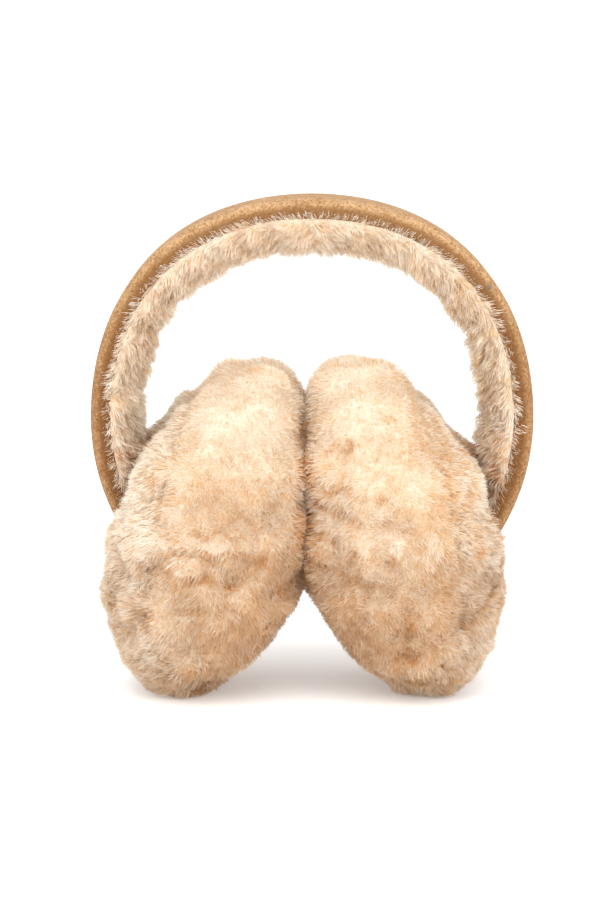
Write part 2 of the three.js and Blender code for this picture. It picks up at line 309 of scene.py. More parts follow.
@dataclass(frozen=True)
class StrandFinish:
    """Colour along each strand, read from the fleece's own map: tone across it, hue and length up it."""

    name: str
    shade: tuple[float, float, float] = SHADE
    roughness: float = 0.8
    gloss: float = 0.08
    through: float = 0.5

    def material(self) -> bpy.types.Material:
        """Builds the strand material: part of the light goes through a strand, as it does in real fleece."""
        material, sheet, shader = new_material(
            self.name, {"Roughness": self.roughness, "Specular IOR Level": self.gloss},
        )
        place = sheet.add("ShaderNodeUVMap", uv_map=STRAND_MAP).outputs["UV"]
        parts = sheet.add("ShaderNodeSeparateXYZ", {"Vector": place})
        stops: list[tuple[float, tuple[float, float, float]]] = []
        for hue, colours in PALETTE.items():
            low = hue.value / HUE_ROWS
            high = (hue.value + 1) / HUE_ROWS
            stops.append((low + HUE_EDGE, colours.root))
            stops.append(((low + high) / 2, colours.shaft))
            stops.append((high - HUE_EDGE, colours.tip))
        colour = sheet.ramp(parts.outputs["Y"], stops)
        shaded = sheet.mix(1.0, colour, (*self.shade, 1.0), "MULTIPLY")
        tone = sheet.mix(parts.outputs["X"], shaded, colour)
        sheet.tree.links.new(tone, shader.inputs["Base Color"])
        glow = sheet.add("ShaderNodeBsdfTranslucent", {"Color": tone})
        both = sheet.add(
            "ShaderNodeMixShader", {0: self.through, 1: shader.outputs["BSDF"], 2: glow.outputs["BSDF"]},
        )
        output = next(node for node in sheet.tree.nodes if node.type == "OUTPUT_MATERIAL")
        sheet.tree.links.new(both.outputs["Shader"], output.inputs["Surface"])
        return material


@dataclass(frozen=True)
class UnderFinish:
    """The dense under-wool between the strands, coloured as they are, painted light and shade included, with
    a fine grain.
    """

    name: str
    deep: float = 0.72
    pale: float = 0.84
    span: tuple[float, float] = (0.35, 0.65)
    grain: float = 900.0
    detail: float = 4.0
    relief: float = 0.35
    depth: float = 0.5
    roughness: float = 0.95
    gloss: float = 0.1

    def material(self) -> bpy.types.Material:
        """Builds the under-wool material."""
        material, sheet, shader = new_material(
            self.name, {"Roughness": self.roughness, "Specular IOR Level": self.gloss},
        )
        place = sheet.add("ShaderNodeTexCoord").outputs["Object"]
        inputs = {"Vector": place, "Scale": self.grain, "Detail": self.detail}
        wool = sheet.add("ShaderNodeTexNoise", inputs).outputs["Fac"]
        shades = [(stop, (shade,) * 3) for stop, shade in zip(self.span, (self.deep, self.pale))]
        grain = sheet.ramp(wool, shades)
        # The vertex colours carry the fleece's hues and its tones, painted light and shade included.
        colour_and_shade = sheet.add("ShaderNodeVertexColor", layer_name=COLOUR_AND_SHADE).outputs["Color"]
        colour = sheet.mix(1.0, colour_and_shade, grain, "MULTIPLY")
        sheet.tree.links.new(colour, shader.inputs["Base Color"])
        sheet.bump(shader, wool, self.relief, self.depth)
        return material


@dataclass(frozen=True)
class SuedeNap:
    """The suede's nap: fine fibres, broader brush marks and the pits between them, by scale and share."""

    grain: float = 1100.0
    grain_detail: float = 3.0
    grain_roughness: float = 0.7
    brushed: float = 140.0
    brushed_detail: float = 4.0
    brushed_share: float = 0.2
    pits: float = 1500.0
    pit_depth: float = 0.5

    def group(self) -> bpy.types.NodeTree:
        """Builds the group: a value that mottles the suede's colour, and the height of its raised fibres."""
        group = bpy.data.node_groups.new("Suede nap", "ShaderNodeTree")
        sockets = group.interface
        sockets.new_socket("Grain", in_out="INPUT", socket_type="NodeSocketFloat").default_value = self.grain
        sockets.new_socket("Mottle", in_out="OUTPUT", socket_type="NodeSocketFloat")
        sockets.new_socket("Height", in_out="OUTPUT", socket_type="NodeSocketFloat")
        sheet = NodeSheet(group)
        given = sheet.add("NodeGroupInput")
        place = sheet.add("ShaderNodeTexCoord").outputs["Object"]
        fibres = sheet.add("ShaderNodeTexNoise", {
            "Vector": place, "Scale": given.outputs["Grain"], "Detail": self.grain_detail,
            "Roughness": self.grain_roughness,
        }).outputs["Fac"]
        brushed = sheet.add(
            "ShaderNodeTexNoise", {"Vector": place, "Scale": self.brushed, "Detail": self.brushed_detail},
        ).outputs["Fac"]
        pits = sheet.add(
            "ShaderNodeTexVoronoi", {"Vector": place, "Scale": self.pits}, feature="F1",
        ).outputs["Distance"]
        weighed = sheet.add("ShaderNodeMath", {0: brushed, 1: self.brushed_share}, operation="MULTIPLY")
        mottle = sheet.add(
            "ShaderNodeMath", {0: fibres, 1: 1.0 - self.brushed_share, 2: weighed.outputs[0]},
            operation="MULTIPLY_ADD",
        )
        height = sheet.add(
            "ShaderNodeMath", {0: pits, 1: -self.pit_depth, 2: fibres}, operation="MULTIPLY_ADD",
        )
        out = sheet.add("NodeGroupOutput")
        group.links.new(mottle.outputs[0], out.inputs["Mottle"])
        group.links.new(height.outputs[0], out.inputs["Height"])
        return group


@dataclass(frozen=True)
class SuedeFinish:
    """Tan suede: lighter where the nap is brushed up, with painted shade: brown where it rolls under to the
    fleece, and darker low down.
    """

    name: str = "napped suede"
    dark: tuple[float, float, float] = (0.24, 0.12, 0.045)
    tan: tuple[float, float, float] = (0.41, 0.24, 0.115)
    pale: tuple[float, float, float] = (0.55, 0.36, 0.20)
    mottle: tuple[float, float, float] = (0.38, 0.5, 0.62)
    # Painted shade: the dark brown where the section rolls under to the fleece.
    rolled: tuple[float, float, float] = (0.18, 0.08, 0.026)
    rolled_shade_span: tuple[float, float] = (0.54, 0.76)
    rolled_shade_share: float = 0.85
    scuff: tuple[float, float, float] = (66.5, -16.5, 158.0)
    scuff_colour: tuple[float, float, float] = (0.16, 0.13, 0.10)
    scuff_span: tuple[float, float] = (0.48, 2.24)
    scuff_share: float = 0.6
    # Painted shade: the suede is darker towards the band's low ends, where less light falls.
    low_shade: tuple[float, float, float] = (0.78, 0.70, 0.62)
    low_shade_span: tuple[float, float] = (118.0, 182.0)
    relief: float = 0.8
    depth: float = 0.5
    roughness: float = 0.95
    sheen: float = 0.06
    sheen_roughness: float = 0.5
    gloss: float = 0.05

    def material(self, nap: bpy.types.NodeTree) -> bpy.types.Material:
        """Builds the suede material.

        Args:
            nap: The nap's node group.

        Returns:
            The material. It reads the band's own map, whose height runs across the section.
        """
        material, sheet, shader = new_material(self.name, {
            "Roughness": self.roughness, "Specular IOR Level": self.gloss,
            "Sheen Weight": self.sheen, "Sheen Roughness": self.sheen_roughness,
        })
        effect = sheet.add("ShaderNodeGroup", node_tree=nap)
        place = sheet.add("ShaderNodeUVMap", uv_map=SECTION_MAP).outputs["UV"]
        across = sheet.add("ShaderNodeSeparateXYZ", {"Vector": place}).outputs["Y"]
        stops = list(zip(self.mottle, (self.dark, self.tan, self.pale)))
        colour = sheet.ramp(effect.outputs["Mottle"], stops)
        # Painted shade where the section rolls under, by the map's height across it.
        under = sheet.fade(across, self.rolled_shade_span, (0.0, self.rolled_shade_share))
        colour = sheet.mix(under, colour, (*self.rolled, 1.0))
        spot = sheet.add("ShaderNodeTexCoord").outputs["Object"]
        centre = tuple(value * MM for value in self.scuff)
        gap = sheet.add("ShaderNodeVectorMath", {0: spot, 1: centre}, operation="DISTANCE").outputs["Value"]
        mark = sheet.fade(gap, tuple(value * MM for value in self.scuff_span), (self.scuff_share, 0.0))
        colour = sheet.mix(mark, colour, (*self.scuff_colour, 1.0))
        # Painted shade: the colour darkens towards the band's low ends.
        height = sheet.add("ShaderNodeSeparateXYZ", {"Vector": spot}).outputs["Z"]
        low_shading = sheet.fade(height, tuple(value * MM for value in self.low_shade_span), (1.0, 0.0))
        colour = sheet.mix(low_shading, colour, (*self.low_shade, 1.0), "MULTIPLY")
        sheet.tree.links.new(colour, shader.inputs["Base Color"])
        sheet.bump(shader, effect.outputs["Height"], self.relief, self.depth)
        return material


# Pieces


def new_piece(name: str, data: bpy.types.ID) -> bpy.types.Object:
    """Puts a mesh, a lamp or a camera into the scene."""
    piece = bpy.data.objects.new(name, data)
    bpy.context.scene.collection.objects.link(piece)
    return piece


def shell_piece(name: str, shell: bmesh.types.BMesh) -> bpy.types.Object:
    """Puts a shell into the scene as a mesh, and frees the shell."""
    mesh = bpy.data.meshes.new(name)
    shell.to_mesh(mesh)
    shell.free()
    return new_piece(name, mesh)


def settle(
    piece: bpy.types.Object, material: bpy.types.Material, nodes: tuple[str, ...] = (),
) -> None:
    """Dresses a piece and ties it to the frame.

    Args:
        piece: The piece.
        material: Its material.
        nodes: The nodes that it stands for.
    """
    piece.data.materials.clear()
    piece.data.materials.append(material)
    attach(piece, BODY)
    if nodes:
        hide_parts(*nodes)
    log.info("%s: %d faces", piece.name, len(piece.data.polygons))


# Suede cover


@dataclass(frozen=True)
class Hoop:
    """The line that the band follows, measured on its outer face, and the band's width."""

    span: float = 168.0
    crown: float = 191.0
    rise: float = 84.0
    bulge: float = 2.6
    width: float = 34.0

    def point(self, angle: float, across: float, depth: float) -> Vector:
        """A place so far across the band and under its outer face, at an angle above the right side."""
        swell = self.bulge * math.sin(2.0 * angle) ** 2 if 0.0 < angle < math.pi else 0.0
        return Vector((
            (self.span / 2 + swell - depth) * math.cos(angle),
            across,
            self.crown - self.rise + (self.rise + swell - depth) * math.sin(angle),
        ))

    def angle(self, points: np.ndarray) -> np.ndarray:
        """Each point's angle above the hoop's right side."""
        return np.arctan2(points[..., 2] - (self.crown - self.rise), points[..., 0])

    def depth(self, points: np.ndarray) -> np.ndarray:
        """How far each point lies under the band's outer face."""
        angle = self.angle(points)
        swell = np.where(angle > 0.0, self.bulge * np.sin(2.0 * angle) ** 2, 0.0)
        return self.span / 2 + swell - np.hypot(points[..., 0], points[..., 2] - (self.crown - self.rise))

    def away(self, points: np.ndarray) -> np.ndarray:
        """The way to each point from the middle of the arc, without its part across the band."""
        return (points - np.array([0.0, 0.0, self.crown - self.rise])) * np.array([1.0, 0.0, 1.0])


@dataclass(frozen=True)
class BandSuede:
    """The suede cover: a flat back whose long edges roll inward to the fleece, with a seam along each."""

    hoop: Hoop
    wall: float = 2.0
    rim: float = 4.4
    rim_turn: float = 50.0
    dip: float = 36.0
    stations: int = 168
    rim_steps: int = 14
    back_steps: int = 10
    seam_place: float = 1.9
    seam_depth: float = 0.35
    seam_width: float = 0.45
    back_share: float = 0.3
    skin: float = 0.25

    def rim_place(self, turn: float, radius: float) -> tuple[float, float]:
        """A place (across, depth) so far from the middle of the rolled edge."""
        centre = self.hoop.width / 2 - self.rim
        return centre + radius * math.cos(turn), self.rim + radius * math.sin(turn)

    def section(self) -> list[tuple[float, float, float]]:
        """The closed section as (across, depth, map height): 0 in the middle of the back, 1 at the lips."""
        centre = self.hoop.width / 2 - self.rim
        shares = [step / self.rim_steps for step in range(self.rim_steps + 1)]
        turns = [math.radians(-90.0 + (90.0 + self.rim_turn) * share) for share in shares]
        right: list[tuple[float, float, float]] = []
        for step in range(self.back_steps):
            share = step / self.back_steps
            right.append((centre * share, 0.0, self.back_share * share))
        for share, turn in zip(shares, turns):
            arc = self.rim * (turn + math.pi / 2)
            groove = self.seam_depth * math.exp(-((arc - self.seam_place) / self.seam_width) ** 2)
            height = self.back_share + (1.0 - self.back_share) * share
            right.append((*self.rim_place(turn, self.rim - groove), height))
        for turn in reversed(turns):
            right.append((*self.rim_place(turn, self.rim - self.wall), 1.0))
        right.append((0.0, self.wall, 1.0))
        left = [(-across, depth, height) for across, depth, height in right[1:-1]]
        return right + left[::-1]

    def drape(self, courses: np.ndarray) -> tuple[np.ndarray, np.ndarray]:
        """Lays strands over the cover where they would run into its lips or, from outside, into its back.

        Args:
            courses: Points of strands (strand, step, axis).

        Returns:
            The points, and which strands keep clear of the rest of the cover.
        """
        skin = self.skin
        centre = self.hoop.width / 2 - self.rim
        depth = self.hoop.depth(courses)
        past = np.abs(courses[..., 1]) - centre
        upward = np.abs(self.hoop.angle(courses) - math.pi / 2) % (2.0 * math.pi)
        along = np.minimum(upward, 2.0 * math.pi - upward) < math.pi / 2 + math.radians(self.dip)
        gap = np.maximum(np.hypot(past, depth - self.rim), TINY)
        lip = self.rim * (1.0 + math.sin(math.radians(self.rim_turn))) + skin
        rolled = along & (past > 0.0) & (gap < self.rim + skin) & (depth < lip)
        grown = np.where(rolled, (self.rim + skin) / gap, 1.0)
        laid = self.rim + (depth - self.rim) * grown
        radial = unit(self.hoop.away(courses))
        moved = courses + radial * (depth - laid)[..., None]
        moved[..., 1] = np.sign(courses[..., 1]) * (centre + np.where(rolled, past * grown, past))
        inside = along & (gap < self.rim - self.wall) & (past > 0.0) & (depth < self.rim)
        sunk = along & (past <= 0.0) & (depth < self.wall + skin)
        outside = depth[:, :1] < -skin
        lifted = np.where(sunk & outside & (depth > -skin), depth + skin, 0.0)
        moved += radial * lifted[..., None]
        return moved, ~(inside | (sunk & ~outside)).any(axis=1)

    def build(self, material: bpy.types.Material) -> bpy.types.Object:
        """Sweeps the section along the hoop.

        Args:
            material: The suede.

        Returns:
            The piece.
        """
        section = self.section()
        cover = bmesh.new()
        layer = cover.loops.layers.uv.new(SECTION_MAP)
        low, high = -math.radians(self.dip), math.pi + math.radians(self.dip)
        angles = [high + (low - high) * step / self.stations for step in range(self.stations + 1)]
        ring = [cover.verts.new(self.hoop.point(angles[0], *place[:2]) * MM) for place in section]
        edges = [cover.edges.new((ring[number - 1], ring[number])) for number in range(len(ring))]
        start_ring = list(ring)
        height = {vert: place[2] for vert, place in zip(ring, section)}
        along = {vert: 0.0 for vert in ring}
        for station, angle in enumerate(angles[1:], 1):
            grown = bmesh.ops.extrude_edge_only(cover, edges=edges)["geom"]
            fresh = [item for item in grown if isinstance(item, bmesh.types.BMVert)]
            partner = {}
            for vert in fresh:
                beside = (edge.other_vert(vert) for edge in vert.link_edges)
                partner[next(other for other in beside if other in height)] = vert
            ring = [partner[vert] for vert in ring]
            for vert, place in zip(ring, section):
                vert.co = self.hoop.point(angle, *place[:2]) * MM
                height[vert] = place[2]
                along[vert] = station / self.stations
            edges = [cover.edges.get((ring[number - 1], ring[number])) for number in range(len(ring))]
        cover.faces.new(start_ring)
        cover.faces.new(ring)
        bmesh.ops.recalc_face_normals(cover, faces=cover.faces)
        for face in cover.faces:
            face.smooth = len(face.verts) == 4
            for loop in face.loops:
                loop[layer].uv = (along[loop.vert], height[loop.vert])
        bmesh.ops.triangulate(cover, faces=[face for face in cover.faces if len(face.verts) > 4])
        piece = shell_piece("suede_cover", cover)
        settle(piece, material, ("band_suede",))
        return piece


# Fleece


@dataclass(frozen=True)
class Crease:
    """A fold or parting in a pad's fleece, seen from the front as a line of (x, z) places."""

    line: tuple[tuple[float, float], ...]
    depth: float
    width: float


@dataclass(frozen=True)
class Patch:
    """A round place on a pad where a hue shows, or where the fleece is lighter, darker or calmer."""

    centre: tuple[float, float]
    radius: tuple[float, float]
    hue: Hue
    amount: float
    tone: float = 0.0
    calm: float = 0.0

    FRONT_FADE = 12.0

    def weight(self, points: np.ndarray) -> np.ndarray:
        """How strongly each point belongs to the patch, from 0 to 1."""
        offset = (points[:, [0, 2]] - np.array(self.centre)) / np.array(self.radius)
        shown = smooth_step(np.abs(points[:, 1]), 0.0, self.FRONT_FADE)
        return np.exp(-(offset ** 2).sum(axis=1)) * shown


@dataclass(frozen=True)
class Growth:
    """How the strands of one fleece grow.

    Lengths and the clumps' size are in millimetres, and lie is in degrees above the hide. Pull draws a
    clump's tips together, and sway turns each strand its own way. A strand has points at the steps from
    its root to its tip, and is as wide as the taper's shares of its width at all but the last.
    """

    strands: int
    length: float
    width: float
    lie: float
    clump: float
    pull: float
    sway: float
    seed: int
    steps: tuple[float, ...] = (0.0, 0.6, 1.0)
    taper: tuple[float, ...] = (0.8, 1.0)


@dataclass
class Strands:
    """Strands as arrays: where each is rooted, which way is out, and how it lies."""

    root: np.ndarray
    out: np.ndarray
    flow: np.ndarray
    length: np.ndarray
    lie: np.ndarray
    tone: np.ndarray
    hue: np.ndarray
    clump: np.ndarray

    def keep(self, chosen: np.ndarray) -> "Strands":
        """Only the chosen strands."""
        return Strands(*(getattr(self, name)[chosen] for name in self.__dataclass_fields__))


def hue_table(shares: dict[Hue, np.ndarray]) -> np.ndarray:
    """How likely each hue is, one row for each strand, adding up to one."""
    table = np.stack([np.clip(shares[hue], 0.0, None) for hue in Hue], axis=1)
    return table / table.sum(axis=1, keepdims=True)


class SoftForm:
    """The rounded form of one or more fur solids, on which fleece grows."""

    def __init__(self, name: str, nodes: tuple[str, ...], voxel: float, rounds: int) -> None:
        """Joins the nodes' solids and rounds them.

        Args:
            name: The form's name.
            nodes: The nodes that it stands for.
            voxel: Size of the remeshed faces.
            rounds: How many times it is smoothed.
        """
        self.name = name
        self.nodes = nodes
        solid = bmesh.new()
        for node in nodes:
            solid.from_mesh(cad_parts[node].data)
        bmesh.ops.remove_doubles(solid, verts=solid.verts, dist=WELD)
        self.piece = shell_piece(name, solid)
        remesh = self.piece.modifiers.new("remesh", "REMESH")
        remesh.mode = "VOXEL"
        remesh.voxel_size = voxel * MM
        smooth = self.piece.modifiers.new("smooth", "SMOOTH")
        smooth.factor = SMOOTHING
        smooth.iterations = rounds
        self.settle_modifiers()

    def settle_modifiers(self) -> None:
        """Makes the modifiers' result the form's own mesh."""
        settled = self.piece.evaluated_get(bpy.context.evaluated_depsgraph_get())
        mesh = bpy.data.meshes.new_from_object(settled)
        self.piece.modifiers.clear()
        self.piece.data = mesh
        mesh.name = self.name
        mesh.polygons.foreach_set("use_smooth", np.ones(len(mesh.polygons), bool))

    def part(self, name: str, node: str, others: tuple[str, ...]) -> "SoftForm":
        """The stretch of the form that lies nearest to one node, as a form of its own.

        Args:
            name: The new form's name.
            node: The node.
            others: The nodes that hold the rest.

        Returns:
            The open stretch, which thicken later closes.
        """
        near = Neighbours([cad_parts[node]])
        far = Neighbours([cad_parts[other] for other in others])
        stretch = object.__new__(SoftForm)
        stretch.name = name
        stretch.nodes = (node,)
        stretch.piece = new_piece(name, self.piece.data.copy())
        shell = bmesh.new()
        shell.from_mesh(stretch.piece.data)
        dropped = [
            face for face in shell.faces
            if far.nearest(face.calc_center_median() / MM) < near.nearest(face.calc_center_median() / MM)
        ]
        bmesh.ops.delete(shell, geom=dropped, context="FACES")
        shell.to_mesh(stretch.piece.data)
        shell.free()
        return stretch

    def thicken(self, wall: float) -> None:
        """Gives an open stretch its hide, inward."""
        hide = self.piece.modifiers.new("hide", "SOLIDIFY")
        hide.thickness = wall * MM
        hide.offset = -1.0
        self.settle_modifiers()

    def remove(self) -> None:
        """Takes away a form that only served to shape others."""
        bpy.data.objects.remove(self.piece)

    def points(self) -> np.ndarray:
        """The form's vertices in millimetres."""
        flat = np.empty(len(self.piece.data.vertices) * 3)
        self.piece.data.vertices.foreach_get("co", flat)
        return flat.reshape(-1, 3) / MM

    def normals(self) -> np.ndarray:
        """The form's vertex normals."""
        flat = np.empty(len(self.piece.data.vertices) * 3)
        self.piece.data.vertex_normals.foreach_get("vector", flat)
        return flat.reshape(-1, 3)

    def move(self, offset: np.ndarray) -> None:
        """Moves each vertex by its own offset in millimetres."""
        placed = (self.points() + offset) * MM
        self.piece.data.vertices.foreach_set("co", placed.ravel())
        self.piece.data.update()

    def unclumped(self) -> Strands:
        """A strand at each vertex, for working out what the fleece looks like there."""
        points = self.points()
        count = len(points)
        return Strands(
            root=points, out=self.normals(), flow=np.zeros((count, 3)), length=np.ones(count),
            lie=np.zeros(count), tone=np.ones(count), hue=np.zeros(count, int), clump=np.arange(count),
        )

    def colour_and_shade(self, tone: np.ndarray, shares: dict[Hue, np.ndarray]) -> None:
        """Colours each vertex as the strands round it are, on average, with the painted light and shade in
        their tone.

        Args:
            tone: The strands' tone at each vertex.
            shares: How likely each hue is there.
        """
        shafts = np.array([PALETTE[hue].shaft for hue in Hue])
        mixed = hue_table(shares) @ shafts
        share = np.clip(tone, 0.0, 1.0)[:, None]
        colour = np.ones((len(mixed), 4))
        colour[:, :3] = mixed * (share + (1.0 - share) * np.array(SHADE))
        layer = self.piece.data.color_attributes.new(name=COLOUR_AND_SHADE, type="FLOAT_COLOR", domain="POINT")
        layer.data.foreach_set("color", colour.ravel().astype(np.float32))

    def area(self) -> float:
        """The form's surface in square millimetres."""
        return sum(face.area for face in self.piece.data.polygons) / MM ** 2

    def scatter(self, count: int, rng: np.random.Generator) -> tuple[np.ndarray, np.ndarray]:
        """Spreads places evenly over the form.

        Args:
            count: How many.
            rng: Where chance comes from.

        Returns:
            The places and the normals there.
        """
        mesh = self.piece.data
        mesh.calc_loop_triangles()
        corners = np.empty(len(mesh.loop_triangles) * 3, int)
        mesh.loop_triangles.foreach_get("vertices", corners)
        corners = corners.reshape(-1, 3)
        points, normals = self.points(), self.normals()
        a, b, c = (points[corners[:, side]] for side in range(3))
        area = np.linalg.norm(np.cross(b - a, c - a), axis=1)
        total = np.cumsum(area)
        chosen = np.minimum(np.searchsorted(total, rng.uniform(0.0, total[-1], count)), len(area) - 1)
        first, second = rng.uniform(size=(2, count))
        folded = first + second > 1.0
        first[folded], second[folded] = 1.0 - first[folded], 1.0 - second[folded]
        share = np.stack([1.0 - first - second, first, second], axis=1)[:, :, None]
        place = (points[corners[chosen]] * share).sum(axis=1)
        out = unit((normals[corners[chosen]] * share).sum(axis=1))
        return place, out


class Neighbours:
    """What stands next to a fleece, and how much room a strand has before it."""

    def __init__(self, others: list[bpy.types.Object]) -> None:
        """Takes the other pieces."""
        self.trees = [self.tree(other) for other in others]

    @staticmethod
    def tree(piece: bpy.types.Object) -> BVHTree:
        """A search tree over a piece's faces, in millimetres."""
        vertices = [vertex.co / MM for vertex in piece.data.vertices]
        return BVHTree.FromPolygons(vertices, [tuple(face.vertices) for face in piece.data.polygons])

    def nearest(self, place: Vector) -> float:
        """How far a place is from the closest face."""
        return min(tree.find_nearest(place)[3] for tree in self.trees)

    def room(self, place: np.ndarray, out: np.ndarray, reach: float) -> np.ndarray:
        """How far each place is from what stands over it, and reach where nothing does.

        Args:
            place: Where the strands are rooted.
            out: The way out of the fleece there.
            reach: How far to look.

        Returns:
            One distance for each place.
        """
        room = np.full(len(place), reach)
        for number, (start, way) in enumerate(zip(place.tolist(), out.tolist())):
            for tree in self.trees:
                distance = tree.ray_cast(start, way, reach)[3]
                if distance is not None and distance < room[number]:
                    room[number] = distance
        return room


class Fleece:
    """Strands grown over a soft form, as one joined mesh of thin curved ribbons."""

    # Roots: how many more are tried than kept, and how much room a strand needs and uses
    SPARE = 1.9
    LIFT = 0.2
    REACH = 1.5
    LEAST_ROOM = 0.3
    ROOM_USED = 0.95
    FEWEST_CLUMPS = 8

    # Strands: how much they vary, how they bend, and how far their tips are drawn together
    LENGTH_SPREAD = 0.12
    LENGTH_LIMITS = (0.6, 1.3)
    LIE_SPREAD = 0.16
    ROLL_SPREAD = 0.45
    LEAN = 0.45
    RISE = 1.25
    PULL_LIMITS = (0.5, 1.0)
    PULL_CURVE = 1.5
    WALL_EDGE = (-0.9, 0.2)

    # The map's margins, and how the hues are picked: tuft by tuft, with some chance for each strand
    MAP_MARGIN = 0.02
    TONE_MARGIN = 0.01
    TUFT = Wander(6.0, 222, 0.9)
    STRAND_SHARE = 0.6
    DRAW_SLOPE = 1.85

    def __init__(self, name: str, form: SoftForm, growth: Growth) -> None:
        """Takes the form that the strands stand on.

        Args:
            name: The piece's name.
            form: The soft form.
            growth: How its strands grow.
        """
        self.name = name
        self.form = form
        self.growth = growth
        self.rng = np.random.default_rng(growth.seed)

    def roots(self, neighbours: Neighbours) -> Strands:
        """Strands rooted where the fleece shows, each in its clump, standing as the growth says."""
        growth, rng = self.growth, self.rng
        tried = int(growth.strands * self.SPARE)
        place, out = self.form.scatter(tried, rng)
        room = neighbours.room(place + out * self.LIFT, out, growth.length * self.REACH)
        shown = np.flatnonzero(room > growth.length * self.LEAST_ROOM)[: growth.strands]
        place, out, room = place[shown], out[shown], room[shown]
        count = len(place)
        area = self.form.area() * count / max(tried, 1)
        clumps = max(int(area / growth.clump ** 2), self.FEWEST_CLUMPS)
        centres = rng.choice(count, clumps, replace=False)
        tree = KDTree(len(centres))
        for number, centre in enumerate(centres):
            tree.insert(Vector(place[centre]), number)
        tree.balance()
        clump = np.array([centres[tree.find(Vector(spot))[1]] for spot in place])
        length = growth.length * np.clip(rng.normal(1.0, self.LENGTH_SPREAD, count), *self.LENGTH_LIMITS)
        return Strands(
            root=place, out=out, flow=np.zeros((count, 3)), length=np.minimum(length, room * self.ROOM_USED),
            lie=np.full(count, math.radians(growth.lie)), tone=np.ones(count),
            hue=np.zeros(count, int), clump=clump,
        )

    def courses(self, strands: Strands) -> tuple[np.ndarray, np.ndarray]:
        """Each strand's points from root to tip, and the way across its ribbon.

        Args:
            strands: The strands, with their flow, length and lie set.

        Returns:
            Points (strand, step, axis), and one direction for each strand.
        """
        growth, rng = self.growth, self.rng
        count = len(strands.root)
        loose = strands.flow + growth.sway * rng.normal(size=(count, 3))
        along = unit(loose - (loose * strands.out).sum(axis=1, keepdims=True) * strands.out)
        lie = strands.lie + rng.normal(0.0, self.LIE_SPREAD, count)
        step = np.array(growth.steps)[None, :, None]
        length = strands.length[:, None, None]
        lean = np.cos(lie)[:, None, None] * (self.LEAN * step + (1.0 - self.LEAN) * step ** 2)
        rise = np.sin(lie)[:, None, None] * (self.RISE * step + (1.0 - self.RISE) * step ** 2)
        course = strands.root[:, None] + length * (along[:, None] * lean + strands.out[:, None] * rise)
        tips = course[strands.clump, -1][:, None]
        held = growth.pull * rng.uniform(*self.PULL_LIMITS, count)[:, None, None] * step ** self.PULL_CURVE
        course = course + held * (tips - course) * np.clip(length / growth.length, 0.0, 1.0)
        course[:, :, 2] = np.maximum(course[:, :, 2], FLOOR_SKIN)
        heading = unit(course[:, -1] - course[:, 0])
        across = unit(np.cross(heading, strands.out))
        roll = rng.normal(0.0, self.ROLL_SPREAD, count)[:, None]
        across = across * np.cos(roll) + np.cross(heading, across) * np.sin(roll)
        return course, across

    def weave(
        self, strands: Strands, band: BandSuede, wall: tuple[float, int] | None = None,
    ) -> bpy.types.Object:
        """Makes the ribbons' mesh and its map, without the strands that would run into the suede.

        Args:
            strands: The strands.
            band: The suede cover.
            wall: Where an upright plane across x stands that they lie against, and their side of it.

        Returns:
            The piece.
        """
        course, across = self.courses(strands)
        if wall is not None:
            place, side = wall
            edge = self.rng.uniform(*self.WALL_EDGE, (len(course), 1))
            course[:, :, 0] = place + side * np.maximum((course[:, :, 0] - place) * side, edge)
        course, free = band.drape(course)
        course, across, strands = course[free], across[free], strands.keep(free)
        count = len(course)
        steps, taper = self.growth.steps, np.array(self.growth.taper)
        pairs = len(taper)
        half = across[:, None] * (taper * self.growth.width / 2)[None, :, None]
        points = np.empty((count, 2 * pairs + 1, 3))
        points[:, 0:2 * pairs:2] = course[:, :pairs] - half
        points[:, 1:2 * pairs:2] = course[:, :pairs] + half
        points[:, -1] = course[:, -1]
        first = np.arange(count)[:, None] * (2 * pairs + 1)
        rung = np.array([[2 * low, 2 * low + 1, 2 * low + 3, 2 * low + 2] for low in range(pairs - 1)])
        quads = first[:, :, None] + rung[None]
        ends = first + np.array([[2 * pairs - 2, 2 * pairs - 1, 2 * pairs]])
        mesh = bpy.data.meshes.new(self.name)
        mesh.from_pydata(
            (points.reshape(-1, 3) * MM).tolist(), [], quads.reshape(-1, 4).tolist() + ends.tolist(),
        )
        quad_steps = [[steps[low]] * 2 + [steps[low + 1]] * 2 for low in range(pairs - 1)]
        end_steps = [steps[-2], steps[-2], steps[-1]]
        tone = np.clip(strands.tone, self.TONE_MARGIN, 1.0 - self.TONE_MARGIN)
        flat = np.concatenate([
            self.places(tone, strands.hue, np.array(quad_steps).ravel()),
            self.places(tone, strands.hue, np.array(end_steps)),
        ])
        layer = mesh.uv_layers.new(name=STRAND_MAP)
        layer.data.foreach_set("uv", flat.ravel().astype(np.float32))
        mesh.polygons.foreach_set("use_smooth", np.ones(len(mesh.polygons), bool))
        mesh.update()
        return new_piece(self.name, mesh)

    def places(self, tone: np.ndarray, hue: np.ndarray, steps: np.ndarray) -> np.ndarray:
        """Where the corners at some steps of every strand lie on its map, one row each."""
        high = (hue[:, None] + self.MAP_MARGIN + (1.0 - 2.0 * self.MAP_MARGIN) * steps[None]) / HUE_ROWS
        return np.stack([np.broadcast_to(tone[:, None], high.shape).ravel(), high.ravel()], axis=1)

    def choose_hues(self, strands: Strands, shares: dict[Hue, np.ndarray]) -> np.ndarray:
        """Picks a hue for each strand, mostly tuft by tuft, so that hues fade into each other.

        Args:
            strands: The strands.
            shares: How likely each hue is for each strand, from 0 to 1.

        Returns:
            The hues' row numbers.
        """
        table = np.cumsum(hue_table(shares), axis=1)
        tuft = self.TUFT.at(strands.root[strands.clump])
        tuft += self.rng.normal(0.0, self.STRAND_SHARE, len(table))
        draw = 1.0 / (1.0 + np.exp(-self.DRAW_SLOPE * tuft))
        return (draw[:, None] > table).sum(axis=1).clip(0, HUE_ROWS - 1)


# Pads


